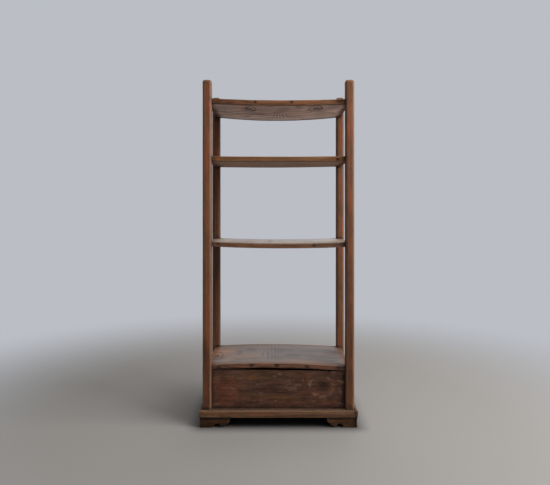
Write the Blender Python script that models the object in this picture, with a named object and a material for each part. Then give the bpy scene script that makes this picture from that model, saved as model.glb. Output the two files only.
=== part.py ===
"""Old open shelf: four posts, four bowed plank shelves, a closed base, a plinth and bracket feet.

Metres, +Z up. The origin is on the floor under the middle of the shelf, whose front faces -Y.
"""
import math

import bmesh
import bpy
from mathutils import Vector

# Fits. Every seat keeps SEAT_GAP of air, and every cutter passes an open face by OVERRUN.
SEAT_GAP = 0.0003
OVERRUN = 0.002

# The body, measured over the outer faces of the posts
BODY_WIDTH = 0.5365
BODY_DEPTH = 0.319

# Posts: square with worn corners, standing on the floor and proud of the top shelf
POST_SIZE = 0.032
POST_PROUD = 0.0652
POST_CORNER_RADIUS = 0.0075
POST_SHOULDER = 0.008
POST_CROWN = 0.0015
POST_FOOT_WEAR = 0.0015
CORNER_STEPS = 4
SHOULDER_STEPS = 4

# Shelf boards: the height of the lowest top face at its front left corner, then from board to board
BASE_SHELF_HEIGHT = 0.2151
LOWER_BAY_RISE = 0.4369
MIDDLE_BAY_RISE = 0.3023
UPPER_BAY_RISE = 0.2055
SHELF_THICKNESS = 0.017
SHELF_END_SETBACK = 0.0138
SHELF_EDGE_SETBACK = 0.010
SHELF_EDGE_WEAR = 0.0015
EDGE_WEAR_STEPS = 2
EDGE_WEAR_PROFILE_SHARE = 0.5
HOUSING_DEPTH = 0.007

# Warp. Every bend and lift of a board is a share of BOARD_WARP.
# Lifts: how much higher the front right, back left and back right corners are than the front left.
# Bends: how much higher the middle of the front edge and of the back edge is than its ends.
BOARD_WARP = 0.006
WARP_LIFT_SHARES = {
    "shelf_base": (-1.08, -0.87, -1.53),
    "shelf_middle": (-0.4, -0.2, -0.3),
    "shelf_upper": (0.0, 0.58, 1.0),
    "shelf_top": (-0.42, 0.32, 0.5),
}
WARP_BEND_SHARES = {
    "shelf_base": (1.43, 1.26),
    "shelf_middle": (-1.15, -0.9),
    "shelf_upper": (-0.32, -0.5),
    "shelf_top": (-1.09, -2.45),
}
BEND_COLUMNS = 12
BEND_ROW_SHARES = (-0.85, -0.3, 0.3, 0.85)

# Pegs: one driven through each post from its outer side into the end of each board
PEG_DIAMETER = 0.005
PEG_BITE = 0.018
PEG_CHAMFER = 0.0007
PEG_SIDES = 8

# Base rails: as thick as the posts and tenoned into them, just above the feet. TENON_END_WALL is
# what is left between the end of one tenon and the side of its neighbour in the same post.
FOOT_HEIGHT = 0.035
RAIL_HEIGHT = 0.0255
TENON_THICKNESS = 0.010
TENON_END_WALL = 0.0017
TENON_SHOULDER = 0.005

# Base panels: boards that slide in grooves in the posts and stand in a groove in each rail
PANEL_THICKNESS = 0.010
PANEL_SETBACK = 0.012
PANEL_RAIL_GROOVE = 0.004
PANEL_CORNER_WALL = 0.001
PANEL_HEAD_GAP = 0.0005

# Base floor: one board lying on the rails, inside the panels
FLOOR_THICKNESS = 0.010

# Plinth mouldings: laid against the outer faces of the rails and posts
PLINTH_THICKNESS = 0.0105
PLINTH_TOP_ROUND = 0.004
PLINTH_FOOT_ROUND = 0.0015
ROUND_STEPS = 4

# Bracket feet: sawn boards under the plinth, each with a pad, a small arch and a round lobe
BRACKET_THICKNESS = 0.0078
BRACKET_LENGTH = 0.100
PAD_LENGTH = 0.040
ARCH_WIDTH = 0.024
ARCH_HEIGHT = 0.0125
CUSP_LIFT = 0.0035
ARCH_STEPS = 8
LOBE_STEPS = 9

# Places worked out from the sizes above
HALF_X = BODY_WIDTH / 2
HALF_Y = BODY_DEPTH / 2
POST_X = HALF_X - POST_SIZE / 2
POST_Y = HALF_Y - POST_SIZE / 2
INNER_X = HALF_X - POST_SIZE
INNER_Y = HALF_Y - POST_SIZE
SHELF_HALF_X = HALF_X - SHELF_END_SETBACK
SHELF_HALF_Y = HALF_Y - SHELF_EDGE_SETBACK
CORE_X = INNER_X + HOUSING_DEPTH
CORE_Y = INNER_Y + HOUSING_DEPTH
TENON_LENGTH = (POST_SIZE - TENON_THICKNESS) / 2 - TENON_END_WALL
RAIL_TOP = FOOT_HEIGHT + RAIL_HEIGHT
PANEL_TONGUE = POST_SIZE - PANEL_SETBACK - PANEL_THICKNESS - PANEL_CORNER_WALL
SHELF_HEIGHTS = {
    "shelf_base": BASE_SHELF_HEIGHT,
    "shelf_middle": BASE_SHELF_HEIGHT + LOWER_BAY_RISE,
    "shelf_upper": BASE_SHELF_HEIGHT + LOWER_BAY_RISE + MIDDLE_BAY_RISE,
    "shelf_top": BASE_SHELF_HEIGHT + LOWER_BAY_RISE + MIDDLE_BAY_RISE + UPPER_BAY_RISE,
}
POST_HEIGHT = SHELF_HEIGHTS["shelf_top"] + POST_PROUD
CORNER_WAYS = ((1, 1), (-1, 1), (-1, -1), (1, -1))
SIDES = (("left", -1), ("right", 1))
ENDS = (("front", -1), ("back", 1))

# Colours of the wood, red, green and blue as shares of full brightness, and its roughness
WOOD_COLOUR_SHARES = {
    "post_wood": (0.39, 0.26, 0.18),
    "shelf_wood": (0.45, 0.36, 0.30),
    "panel_wood": (0.28, 0.18, 0.14),
    "plinth_wood": (0.34, 0.23, 0.17),
    "foot_wood": (0.27, 0.18, 0.13),
    "peg_wood": (0.24, 0.15, 0.10),
}
WOOD_ROUGHNESS = 0.7

# Edges that turn by more than this stay sharp where a piece is shaded smooth
SHARP_EDGE_ANGLE = math.radians(35)


def clear_scene():
    """Remove what the file opened with."""
    for obj in list(bpy.data.objects):
        bpy.data.objects.remove(obj, do_unlink=True)


def linear(share):
    """Turn a colour share as the eye reads it into the linear value that a shader takes."""
    return share / 12.92 if share <= 0.04045 else ((share + 0.055) / 1.055) ** 2.4


def wood(name):
    """One of the woods named above, made the first time that it is asked for."""
    material = bpy.data.materials.get(name)
    if material:
        return material
    material = bpy.data.materials.new(name)
    material.use_nodes = True
    shader = material.node_tree.nodes["Principled BSDF"]
    colour = [linear(share) for share in WOOD_COLOUR_SHARES[name]]
    shader.inputs["Base Color"].default_value = (*colour, 1.0)
    shader.inputs["Roughness"].default_value = WOOD_ROUGHNESS
    shader.inputs["Metallic"].default_value = 0.0
    return material


def add_body(bm, rings):
    """Skin a row of rings, all with the same count of points, into one closed body."""
    loops = [[bm.verts.new(point) for point in ring] for ring in rings]
    faces = [bm.faces.new(loops[0]), bm.faces.new(loops[-1])]
    count = len(loops[0])
    for near, far in zip(loops, loops[1:]):
        for here in range(count):
            after = (here + 1) % count
            faces.append(bm.faces.new((near[here], near[after], far[after], far[here])))
    bmesh.ops.recalc_face_normals(bm, faces=faces)


def body_of(*ring_rows):
    """A new mesh that holds one closed body for each row of rings."""
    bm = bmesh.new()
    for rings in ring_rows:
        add_body(bm, rings)
    return bm


def place(name, bm, location, turn, parent):
    """Make a mesh an object at its place, hung under the shelf's own empty."""
    mesh = bpy.data.meshes.new(name)
    bm.to_mesh(mesh)
    bm.free()
    obj = bpy.data.objects.new(name, mesh)
    bpy.context.scene.collection.objects.link(obj)
    obj.location = location
    obj.rotation_euler.z = turn
    obj.parent = parent
    return obj


def add_piece(name, bm, material, location=(0, 0, 0), turn=0, smooth=False):
    """Place one piece of the shelf and give it its wood."""
    obj = place(name, bm, location, turn, bpy.data.objects["utensil_shelf"])
    obj.data.materials.append(wood(material))
    if smooth:
        obj.data.shade_smooth()
        obj.data.set_sharp_from_angle(angle=SHARP_EDGE_ANGLE)
    return obj


def add_cutter(name, bm, location=(0, 0, 0), turn=0):
    """Place a body that only cuts others."""
    obj = place(name, bm, location, turn, bpy.data.objects["utensil_shelf"])
    obj.hide_render = True
    obj.display_type = "WIRE"
    return obj


def cut(piece, cutter):
    """Take one body out of another."""
    modifier = piece.modifiers.new(cutter.name, "BOOLEAN")
    modifier.operation = "DIFFERENCE"
    modifier.solver = "EXACT"
    modifier.object = cutter


def flat_ring(outline, height):
    """An outline in plan, at one height."""
    return [Vector((x, y, height)) for x, y in outline]


def end_ring(x, half_y, low, high):
    """An upright rectangle across the X axis."""
    return [Vector((x, -half_y, low)), Vector((x, half_y, low)),
            Vector((x, half_y, high)), Vector((x, -half_y, high))]


def rounded_square(half, radius):
    """The plan of a post: a square whose corners are quarter circles."""
    middle = half - radius
    outline = []
    for quarter, (way_x, way_y) in enumerate(CORNER_WAYS):
        turn = quarter * math.pi / 2
        corner = Vector((way_x * middle, way_y * middle))
        for step in range(CORNER_STEPS + 1):
            angle = turn + step / CORNER_STEPS * math.pi / 2
            outline.append((corner.x + radius * math.cos(angle), corner.y + radius * math.sin(angle)))
    return outline


def notched_outline(half_x, half_y, core_x, core_y):
    """The plan of a board: a rectangle notched at each corner to pass a post."""
    return [(-core_x, -half_y), (core_x, -half_y), (core_x, -core_y), (half_x, -core_y),
            (half_x, core_y), (core_x, core_y), (core_x, half_y), (-core_x, half_y),
            (-core_x, core_y), (-half_x, core_y), (-half_x, -core_y), (-core_x, -core_y)]


def shelf_rise(name, x, y):
    """How far warp lifts a shelf board at a place in plan, above its front left corner."""
    across = (x + SHELF_HALF_X) / (2 * SHELF_HALF_X)
    back = (y + SHELF_HALF_Y) / (2 * SHELF_HALF_Y)
    front_right, back_left, back_right = WARP_LIFT_SHARES[name]
    front_bend, back_bend = WARP_BEND_SHARES[name]
    arch = 4 * across * (1 - across)
    front_share = front_right * across + front_bend * arch
    back_share = back_left * (1 - across) + back_right * across + back_bend * arch
    return BOARD_WARP * (front_share * (1 - back) + back_share * back)


def shelf_body(name, grow=0):
    """A warped board with notched corners, or its grown shape that cuts its housings."""
    outline = notched_outline(SHELF_HALF_X + grow, SHELF_HALF_Y + grow, CORE_X + grow, CORE_Y + grow)
    bm = body_of([flat_ring(outline, -SHELF_THICKNESS - grow), flat_ring(outline, grow)])
    if not grow:
        rims = [edge for edge in bm.edges if edge.verts[0].co.z == edge.verts[1].co.z]
        bmesh.ops.bevel(bm, geom=rims, offset=SHELF_EDGE_WEAR, segments=EDGE_WEAR_STEPS,
                        profile=EDGE_WEAR_PROFILE_SHARE, affect="EDGES")
    cuts = [((SHELF_HALF_X * (2 * step / BEND_COLUMNS - 1), 0, 0), (1, 0, 0))
            for step in range(1, BEND_COLUMNS)]
    cuts += [((0, CORE_Y * share, 0), (0, 1, 0)) for share in BEND_ROW_SHARES]
    for point, normal in cuts:
        geometry = bm.verts[:] + bm.edges[:] + bm.faces[:]
        bmesh.ops.bisect_plane(bm, geom=geometry, plane_co=point, plane_no=normal)
    for vert in bm.verts:
        vert.co.z += shelf_rise(name, vert.co.x, vert.co.y)
    return bm


def make_shelves():
    """The four boards, each with the cutter for its housings in the posts."""
    shelves = []
    cutters = []
    for name, height in SHELF_HEIGHTS.items():
        shelves.append(add_piece(name, shelf_body(name), "shelf_wood", (0, 0, height)))
        cutters.append(add_cutter("cut_" + name, shelf_body(name, SEAT_GAP), (0, 0, height)))
    return shelves, cutters


def post_rings():
    """The rings of a post, from its worn foot to its rounded shoulder and slightly crowned top."""
    half = POST_SIZE / 2
    outline = rounded_square(half, POST_CORNER_RADIUS)

    def ring(inset, height):
        scale = (half - inset) / half
        return [Vector((x * scale, y * scale, height)) for x, y in outline]

    rings = [ring(POST_FOOT_WEAR, 0), ring(0, POST_FOOT_WEAR)]
    spring = POST_HEIGHT - POST_CROWN - POST_SHOULDER
    for step in range(SHOULDER_STEPS + 1):
        angle = step / SHOULDER_STEPS * math.pi / 2
        rings.append(ring(POST_SHOULDER * (1 - math.cos(angle)), spring + POST_SHOULDER * math.sin(angle)))
    rings.append(ring(half - POST_CROWN, POST_HEIGHT))
    return rings


def make_posts():
    """The four posts, keyed by end and side."""
    return {
        (end, side): add_piece(f"post_{end}_{side}", body_of(post_rings()), "post_wood",
                               (way_x * POST_X, way_y * POST_Y, 0), smooth=True)
        for end, way_y in ENDS for side, way_x in SIDES
    }


def peg_rings(way_x, y, z, grow=0):
    """A peg lying along X in its post's own frame, flush with the post's outer face."""
    radius = PEG_DIAMETER / 2 + grow
    outer = POST_SIZE / 2 + (OVERRUN if grow else 0)
    tip = CORE_X - PEG_BITE - POST_X - grow
    stations = [(outer, radius - PEG_CHAMFER), (outer - PEG_CHAMFER, radius),
                (tip + PEG_CHAMFER, radius), (tip, radius - PEG_CHAMFER)]
    if grow:
        stations = [(outer, radius), (tip, radius)]
    turns = [2 * math.pi * side / PEG_SIDES for side in range(PEG_SIDES)]
    return [[Vector((way_x * x, y + size * math.cos(turn), z + size * math.sin(turn))) for turn in turns]
            for x, size in stations]


def make_pegs(posts, shelves):
    """A peg for each board at each post, with the holes for them in the post and the boards."""
    peg_y = (CORE_Y + SHELF_HALF_Y) / 2
    for end, way_y in ENDS:
        for side, way_x in SIDES:
            offset = way_y * (peg_y - POST_Y)
            centre = (way_x * POST_X, way_y * POST_Y, 0)
            holes = bmesh.new()
            for name, height in SHELF_HEIGHTS.items():
                rise = shelf_rise(name, way_x * CORE_X, way_y * peg_y)
                level = height + rise - SHELF_THICKNESS / 2
                peg = body_of(peg_rings(way_x, offset, level))
                add_piece(f"peg_{name}_{end}_{side}", peg, "peg_wood", centre)
                add_body(holes, peg_rings(way_x, offset, level, SEAT_GAP))
            cutter = add_cutter(f"cut_pegs_{end}_{side}", holes, centre)
            cut(posts[end, side], cutter)
            for shelf in shelves:
                cut(shelf, cutter)


def rail_rings(half_length):
    """A rail along X, with a thinner tenon at each end."""
    tip = half_length + TENON_LENGTH
    tenon = (TENON_THICKNESS / 2, TENON_SHOULDER, RAIL_HEIGHT - TENON_SHOULDER)
    rail = (POST_SIZE / 2, 0, RAIL_HEIGHT)
    return [end_ring(-tip, *tenon), end_ring(-half_length, *tenon), end_ring(-half_length, *rail),
            end_ring(half_length, *rail), end_ring(half_length, *tenon), end_ring(tip, *tenon)]


def mortise_rings(half_length, way):
    """The mortise that takes one tenon of a rail."""
    tip = half_length + TENON_LENGTH + SEAT_GAP
    half_thick = TENON_THICKNESS / 2 + SEAT_GAP
    low = TENON_SHOULDER - SEAT_GAP
    high = RAIL_HEIGHT - TENON_SHOULDER + SEAT_GAP
    return [end_ring(way * (half_length - OVERRUN), half_thick, low, high),
            end_ring(way * tip, half_thick, low, high)]


def panel_rings(half_length, height_at_start, height_at_end, grow=0):
    """A base panel along X, whose top slopes from one end to the other to meet the board above."""
    half_thick = PANEL_THICKNESS / 2 + grow
    return [end_ring(-half_length - grow, half_thick, -grow, height_at_start + grow),
            end_ring(half_length + grow, half_thick, -grow, height_at_end + grow)]


def base_sides():
    """Where the four sides of the base lie: name, centre, turn, half length between posts, neighbours."""
    rows = []
    for end, way_y in ENDS:
        rows.append((end, Vector((0, way_y)), 0, INNER_X, [(end, "left"), (end, "right")]))
    for side, way_x in SIDES:
        rows.append((side, Vector((way_x, 0)), math.pi / 2, INNER_Y, [("front", side), ("back", side)]))
    return rows


def panel_heights(centre, along, across, foot):
    """How high a panel stands at each end, to end just under the lowest part of the base shelf there."""
    heights = []
    for end in (centre - along, centre + along):
        rise = min(shelf_rise("shelf_base", *(end - across)), shelf_rise("shelf_base", *(end + across)))
        heights.append(BASE_SHELF_HEIGHT + rise - SHELF_THICKNESS - PANEL_HEAD_GAP - foot)
    return heights


def make_base(posts):
    """Rails, panels, floor board and plinth mouldings, with the mortises and grooves that hold them."""
    panel_x = HALF_X - PANEL_SETBACK - PANEL_THICKNESS / 2
    panel_y = HALF_Y - PANEL_SETBACK - PANEL_THICKNESS / 2
    for name, way, turn, inner, neighbours in base_sides():
        rail_place = (way.x * POST_X, way.y * POST_Y, FOOT_HEIGHT)
        half_rail = inner - SEAT_GAP
        rail = add_piece(f"base_rail_{name}", body_of(rail_rings(half_rail)), "plinth_wood", rail_place, turn)
        mortises = body_of(mortise_rings(half_rail, -1), mortise_rings(half_rail, 1))
        mortise_cutter = add_cutter(f"cut_mortises_{name}", mortises, rail_place, turn)

        half_panel = inner + PANEL_TONGUE - SEAT_GAP
        along = Vector((math.cos(turn), math.sin(turn))) * half_panel
        centre = Vector((way.x * panel_x, way.y * panel_y))
        foot = RAIL_TOP - PANEL_RAIL_GROOVE + SEAT_GAP
        heights = panel_heights(centre, along, way * PANEL_THICKNESS / 2, foot)
        panel_place = (*centre, foot)
        add_piece(f"base_panel_{name}", body_of(panel_rings(half_panel, *heights)), "panel_wood",
                  panel_place, turn)
        grown = body_of(panel_rings(half_panel, *heights, SEAT_GAP))
        panel_cutter = add_cutter(f"cut_panel_{name}", grown, panel_place, turn)
        cut(rail, panel_cutter)
        for corner in neighbours:
            cut(posts[corner], mortise_cutter)
            cut(posts[corner], panel_cutter)

    floor_x = panel_x - PANEL_THICKNESS / 2 - SEAT_GAP
    floor_y = panel_y - PANEL_THICKNESS / 2 - SEAT_GAP
    outline = notched_outline(floor_x, floor_y, INNER_X - SEAT_GAP, INNER_Y - SEAT_GAP)
    floor = body_of([flat_ring(outline, 0), flat_ring(outline, FLOOR_THICKNESS)])
    add_piece("base_floor", floor, "panel_wood", (0, 0, RAIL_TOP + SEAT_GAP))


def plinth_rings(half_length, lap):
    """A plinth moulding along X, its rounded face towards -Y and its back on the line y = 0."""
    foot_centre = (PLINTH_FOOT_ROUND - PLINTH_THICKNESS, PLINTH_FOOT_ROUND)
    top_centre = (PLINTH_TOP_ROUND - PLINTH_THICKNESS, RAIL_HEIGHT - PLINTH_TOP_ROUND)
    profile = [(0, 0)]
    for quarter, radius, (y, z) in ((3, PLINTH_FOOT_ROUND, foot_centre), (2, PLINTH_TOP_ROUND, top_centre)):
        for step in range(ROUND_STEPS + 1):
            angle = (quarter - step / ROUND_STEPS) * math.pi / 2
            profile.append((y + radius * math.cos(angle), z + radius * math.sin(angle)))
    profile.append((0, RAIL_HEIGHT))
    return [[Vector((x, y, z)) for y, z in profile] for x in (-half_length - lap, half_length)]


def make_plinth():
    """Four mouldings. Each covers the end of its neighbour at one corner and is covered at the other."""
    back_x = HALF_X + SEAT_GAP
    back_y = HALF_Y + SEAT_GAP
    lap = SEAT_GAP + PLINTH_THICKNESS
    rows = (("front", (0, -back_y), 0, HALF_X), ("back", (0, back_y), math.pi, HALF_X),
            ("left", (-back_x, 0), -math.pi / 2, HALF_Y), ("right", (back_x, 0), math.pi / 2, HALF_Y))
    for name, centre, turn, half_length in rows:
        add_piece(f"plinth_{name}", body_of(plinth_rings(half_length, lap)), "plinth_wood",
                  (*centre, FOOT_HEIGHT), turn)


def bracket_outline(extra):
    """Side view of a bracket foot: flat pad, small arch, cusp, then a lobe that curves up to the plinth."""
    top = FOOT_HEIGHT - SEAT_GAP
    pad_end = PAD_LENGTH + extra
    cusp = pad_end + ARCH_WIDTH
    end = BRACKET_LENGTH + extra
    outline = [(0, top), (0, 0), (pad_end, 0)]
    for step in range(1, ARCH_STEPS + 1):
        share = step / ARCH_STEPS
        x = pad_end + ARCH_WIDTH * (1 - math.cos(math.pi * share)) / 2
        outline.append((x, ARCH_HEIGHT * math.sin(math.pi * share) + CUSP_LIFT * share))
    for step in range(1, LOBE_STEPS + 1):
        angle = step / LOBE_STEPS * math.pi / 2
        outline.append((cusp + (end - cusp) * math.sin(angle), top - (top - CUSP_LIFT) * math.cos(angle)))
    return outline


def bracket_rings(extra):
    """A bracket along X from its outer end, sawn from a board whose middle is on y = 0."""
    outline = bracket_outline(extra)
    half = BRACKET_THICKNESS / 2
    return [[Vector((x, way * half, z)) for x, z in outline] for way in (-1, 1)]


def make_brackets():
    """Two bracket feet at each corner. As in the plinth, one of them covers the end of the other."""
    face_x = HALF_X + SEAT_GAP + BRACKET_THICKNESS / 2
    face_y = HALF_Y + SEAT_GAP + BRACKET_THICKNESS / 2
    lap = SEAT_GAP + BRACKET_THICKNESS
    for end, way_y in ENDS:
        for side, way_x in SIDES:
            turn = 0 if way_x < 0 else math.pi
            lap_x, lap_y = (lap, 0) if way_x == way_y else (0, lap)
            add_piece(f"bracket_{end}_{side}", body_of(bracket_rings(lap_x)), "foot_wood",
                      (way_x * (HALF_X + lap_x), way_y * face_y, 0), turn)
            add_piece(f"bracket_side_{end}_{side}", body_of(bracket_rings(lap_y)), "foot_wood",
                      (way_x * face_x, way_y * (HALF_Y + lap_y), 0), -way_y * math.pi / 2)


def main():
    """Build the whole shelf."""
    clear_scene()
    root = bpy.data.objects.new("utensil_shelf", None)
    bpy.context.scene.collection.objects.link(root)
    shelves, housings = make_shelves()
    posts = make_posts()
    for post in posts.values():
        for housing in housings:
            cut(post, housing)
    make_base(posts)
    make_pegs(posts, shelves)
    make_plinth()
    make_brackets()


main()
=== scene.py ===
# %% [markdown]
# An old utensil shelf
#
# Four slender posts carry four bowed plank shelves over a closed base with a plinth and bracket
# feet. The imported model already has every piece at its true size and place, so this lesson only
# dresses it: each piece gets the worn surface and the old wood that the real one has. The packed
# pieces are loaded first, because everything below is measured from them.

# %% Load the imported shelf
import math

import bmesh
import bpy
import numpy as np
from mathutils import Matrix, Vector
from mathutils.bvhtree import BVHTree


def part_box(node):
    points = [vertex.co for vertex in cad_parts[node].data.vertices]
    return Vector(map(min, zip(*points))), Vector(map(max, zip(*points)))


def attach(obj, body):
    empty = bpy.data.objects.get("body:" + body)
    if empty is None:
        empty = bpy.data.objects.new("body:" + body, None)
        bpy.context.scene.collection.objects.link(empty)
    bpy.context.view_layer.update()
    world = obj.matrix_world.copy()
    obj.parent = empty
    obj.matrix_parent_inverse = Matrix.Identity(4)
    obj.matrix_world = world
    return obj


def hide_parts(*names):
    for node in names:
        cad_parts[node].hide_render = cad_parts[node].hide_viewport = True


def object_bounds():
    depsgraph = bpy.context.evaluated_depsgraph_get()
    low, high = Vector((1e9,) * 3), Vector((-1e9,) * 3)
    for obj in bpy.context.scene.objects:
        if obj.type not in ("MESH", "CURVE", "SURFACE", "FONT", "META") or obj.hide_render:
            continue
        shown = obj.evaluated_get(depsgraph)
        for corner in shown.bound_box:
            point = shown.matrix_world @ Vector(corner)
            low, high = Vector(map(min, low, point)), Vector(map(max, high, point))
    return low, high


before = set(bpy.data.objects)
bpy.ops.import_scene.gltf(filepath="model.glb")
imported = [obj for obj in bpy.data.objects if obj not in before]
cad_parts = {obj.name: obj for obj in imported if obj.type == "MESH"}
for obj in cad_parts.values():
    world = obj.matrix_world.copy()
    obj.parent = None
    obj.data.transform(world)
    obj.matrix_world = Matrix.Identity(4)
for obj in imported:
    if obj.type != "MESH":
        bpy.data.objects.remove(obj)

BODY = "root"
cad_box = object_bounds()
print("packed pieces:", len(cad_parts), "box:", cad_box)

# %% [markdown]
# Camera
#
# The photograph was taken square on, a little above the middle of the shelf. A camera that looks
# level keeps the posts upright, and a small shift, as on a view camera, sets how high the shelf
# stands in the picture. The column and row that lie straight ahead are kept as values, so that a mark
# seen in the photograph can be carried back onto the piece that bears it.

# %% Camera
PHOTO_WIDTH = 550
PHOTO_HEIGHT = 485
AHEAD_COLUMN = 276.2
AHEAD_ROW = 214.0
FOCAL_PIXELS = 529.8
CAMERA_PLACE = Vector((-0.008, -2.0245, 0.749))
SENSOR_WIDTH = 36

camera = bpy.data.objects.new("camera", bpy.data.cameras.new("camera"))
bpy.context.scene.collection.objects.link(camera)
camera.data.sensor_width = SENSOR_WIDTH
camera.data.lens = SENSOR_WIDTH * FOCAL_PIXELS / PHOTO_WIDTH
camera.data.shift_x = (PHOTO_WIDTH / 2 - AHEAD_COLUMN) / PHOTO_WIDTH
camera.data.shift_y = (AHEAD_ROW - PHOTO_HEIGHT / 2) / PHOTO_WIDTH
camera.location = CAMERA_PLACE
camera.rotation_euler = (math.pi / 2, 0, 0)
bpy.context.scene.camera = camera
bpy.context.scene.view_settings.view_transform = "Standard"


def look(column, row, reach):
    """The place that the photograph shows at a column and row, at a reach ahead of the camera."""
    across = (column - AHEAD_COLUMN) / FOCAL_PIXELS
    down = (row - AHEAD_ROW) / FOCAL_PIXELS
    return CAMERA_PLACE + Vector((across, 1, -down)) * reach


def on_upright(y):
    """What turns a column and row into a place on the upright plane at y."""
    return lambda column, row: look(column, row, y - CAMERA_PLACE.y)


def on_level(z):
    """What turns a column and row into a place on the level plane at z."""
    depth = (CAMERA_PLACE.z - z) * FOCAL_PIXELS
    return lambda column, row: look(column, row, depth / (row - AHEAD_ROW))


print("camera at", tuple(camera.location), "lens", round(camera.data.lens, 2))

# %% [markdown]
# Working with nodes
#
# Materials and Geometry Nodes are both graphs of small steps, and written out node by node even a
# short sum fills a screen. So what comes out of a node is wrapped here as a wire. A sum on wires
# adds the nodes that work it out: wear * 0.5 + grime makes two of them.

# %% Wires
class Wire:
    """What comes out of a node. A sum on wires adds the node that works it out."""

    def __init__(self, socket):
        self.socket = socket
        self.tree = socket.id_data

    def __add__(self, other):
        return calc("ADD", self, other)

    def __sub__(self, other):
        return calc("SUBTRACT", self, other)

    def __rsub__(self, other):
        return calc("SUBTRACT", other, self)

    def __mul__(self, other):
        return calc("MULTIPLY", self, other)

    def __truediv__(self, other):
        return calc("DIVIDE", self, other)


class Outputs:
    """The outputs of a node as wires, by name or by number."""

    def __init__(self, node):
        self.node = node

    def __getitem__(self, key):
        return Wire(self.node.outputs[key])


def feed(socket, value):
    """Link a socket to a wire, or set it to a plain value."""
    if isinstance(value, Wire):
        value.tree.links.new(value.socket, socket)
    else:
        socket.default_value = value


def fill(sockets, **values):
    """Feed several sockets by name. An underscore stands for a blank."""
    for name, value in values.items():
        feed(sockets[name.replace("_", " ")], value)


def add(tree, kind, inputs=None, **settings):
    """Add a node with its settings, feed its inputs and give its outputs."""
    node = tree.nodes.new(kind)
    for name, value in settings.items():
        setattr(node, name, value)
    for key, value in (inputs or {}).items():
        feed(node.inputs[key], value)
    return Outputs(node)


def tree_of(values):
    """The tree that the first wire among some values belongs to."""
    return next(value.tree for value in values if isinstance(value, Wire))


def is_vector(value):
    """Whether a wire or a plain value holds several numbers."""
    if isinstance(value, Wire):
        return value.socket.type in ("VECTOR", "RGBA")
    return hasattr(value, "__len__")


def calc(operation, *values):
    """A sum on numbers or on vectors. A vector times a number is stretched by it."""
    tree = tree_of(values)
    vectors = [is_vector(value) for value in values]
    if not any(vectors):
        return add(tree, "ShaderNodeMath", dict(enumerate(values)), operation=operation)[0]
    if operation == "MULTIPLY" and not all(vectors):
        vector, number = values if vectors[0] else values[::-1]
        return add(tree, "ShaderNodeVectorMath", {"Vector": vector, "Scale": number},
                   operation="SCALE")[0]
    made = add(tree, "ShaderNodeVectorMath", dict(enumerate(values)), operation=operation)
    return made["Value" if operation in ("LENGTH", "DOT_PRODUCT") else "Vector"]


print("a wire knows + - * and /")

# %% Nodes that come up often
MIX_SHARE, MIX_FIRST, MIX_SECOND, MIX_COLOUR = 0, 6, 7, 2
NOISE_MEAN = 0.5


def parts_of(vector):
    """The three numbers of a vector."""
    made = add(vector.tree, "ShaderNodeSeparateXYZ", {0: vector})
    return made[0], made[1], made[2]


def joined(x, y, z):
    """Three numbers as a vector."""
    return add(tree_of((x, y, z)), "ShaderNodeCombineXYZ", {0: x, 1: y, 2: z})[0]


def rise(value, low, high):
    """0 below low, 1 above high, and a soft slope between them."""
    return add(value.tree, "ShaderNodeMapRange", {"Value": value, "From Min": low, "From Max": high},
               interpolation_type="SMOOTHSTEP")["Result"]


def fall(value, low, high):
    """1 below low, 0 above high, and a soft slope between them."""
    return 1.0 - rise(value, low, high)


def noise(place, scale, detail=2.0, roughness=0.5, output="Fac"):
    """Even noise between 0 and 1. A scale of three numbers draws it out along an axis."""
    if is_vector(scale):
        place, scale = place * scale, 1.0
    return add(place.tree, "ShaderNodeTexNoise", {"Vector": place, "Scale": scale, "Detail": detail,
                                                  "Roughness": roughness})[output]


def swing(place, scale, **settings):
    """Noise that swings about 0."""
    return noise(place, scale, **settings) - NOISE_MEAN


def blend(share, first, second, kind="MIX"):
    """Mix two colours. The node names its sockets alike for every type, so numbers pick them."""
    made = add(tree_of((share, first, second)), "ShaderNodeMix",
               {MIX_SHARE: share, MIX_FIRST: first, MIX_SECOND: second},
               data_type="RGBA", blend_type=kind)
    return made[MIX_COLOUR]


def bump(height, distance, strength=1.0):
    """The normals of a finely uneven surface."""
    return add(height.tree, "ShaderNodeBump",
               {"Height": height, "Distance": distance, "Strength": strength})["Normal"]


def read(tree, name):
    """A number that a piece carries on its points."""
    return add(tree, "ShaderNodeAttribute", attribute_name=name)["Fac"]


print("node helpers ready")

# %% [markdown]
# Groups and materials
#
# A group with named inputs and outputs is how one effect serves many pieces. It is an empty tree at
# first, with a socket for each name, and a material places it and feeds the inputs that differ from
# the group's own first values.

# %% Groups and materials
KINDS = {"value": "NodeSocketFloat", "count": "NodeSocketInt", "vector": "NodeSocketVector",
         "colour": "NodeSocketColor", "shape": "NodeSocketGeometry", "object": "NodeSocketObject",
         "material": "NodeSocketMaterial"}
KINDS_OF_VALUES = {float: "value", int: "count", tuple: "vector"}


def new_group(name, family, given, wanted):
    """An empty node group. given maps each input to its kind, or to its first value."""
    tree = bpy.data.node_groups.new(name, family)
    for label, value in given.items():
        kind = value if isinstance(value, str) else KINDS_OF_VALUES[type(value)]
        socket = tree.interface.new_socket(label, in_out="INPUT", socket_type=KINDS[kind])
        if value is not kind:
            socket.default_value = value
    for label, kind in wanted.items():
        tree.interface.new_socket(label, in_out="OUTPUT", socket_type=KINDS[kind])
    return tree, Outputs(tree.nodes.new("NodeGroupInput")), tree.nodes.new("NodeGroupOutput").inputs


def use(name, **inputs):
    """Place a shader group in a material and feed it."""
    made = add(tree_of(inputs.values()), "ShaderNodeGroup", node_tree=bpy.data.node_groups[name])
    fill(made.node.inputs, **inputs)
    return made


def new_material(name):
    """A material, its node tree and the sockets of its shader."""
    material = bpy.data.materials.new(name)
    material.use_nodes = True
    return material, material.node_tree, material.node_tree.nodes["Principled BSDF"].inputs


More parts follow.
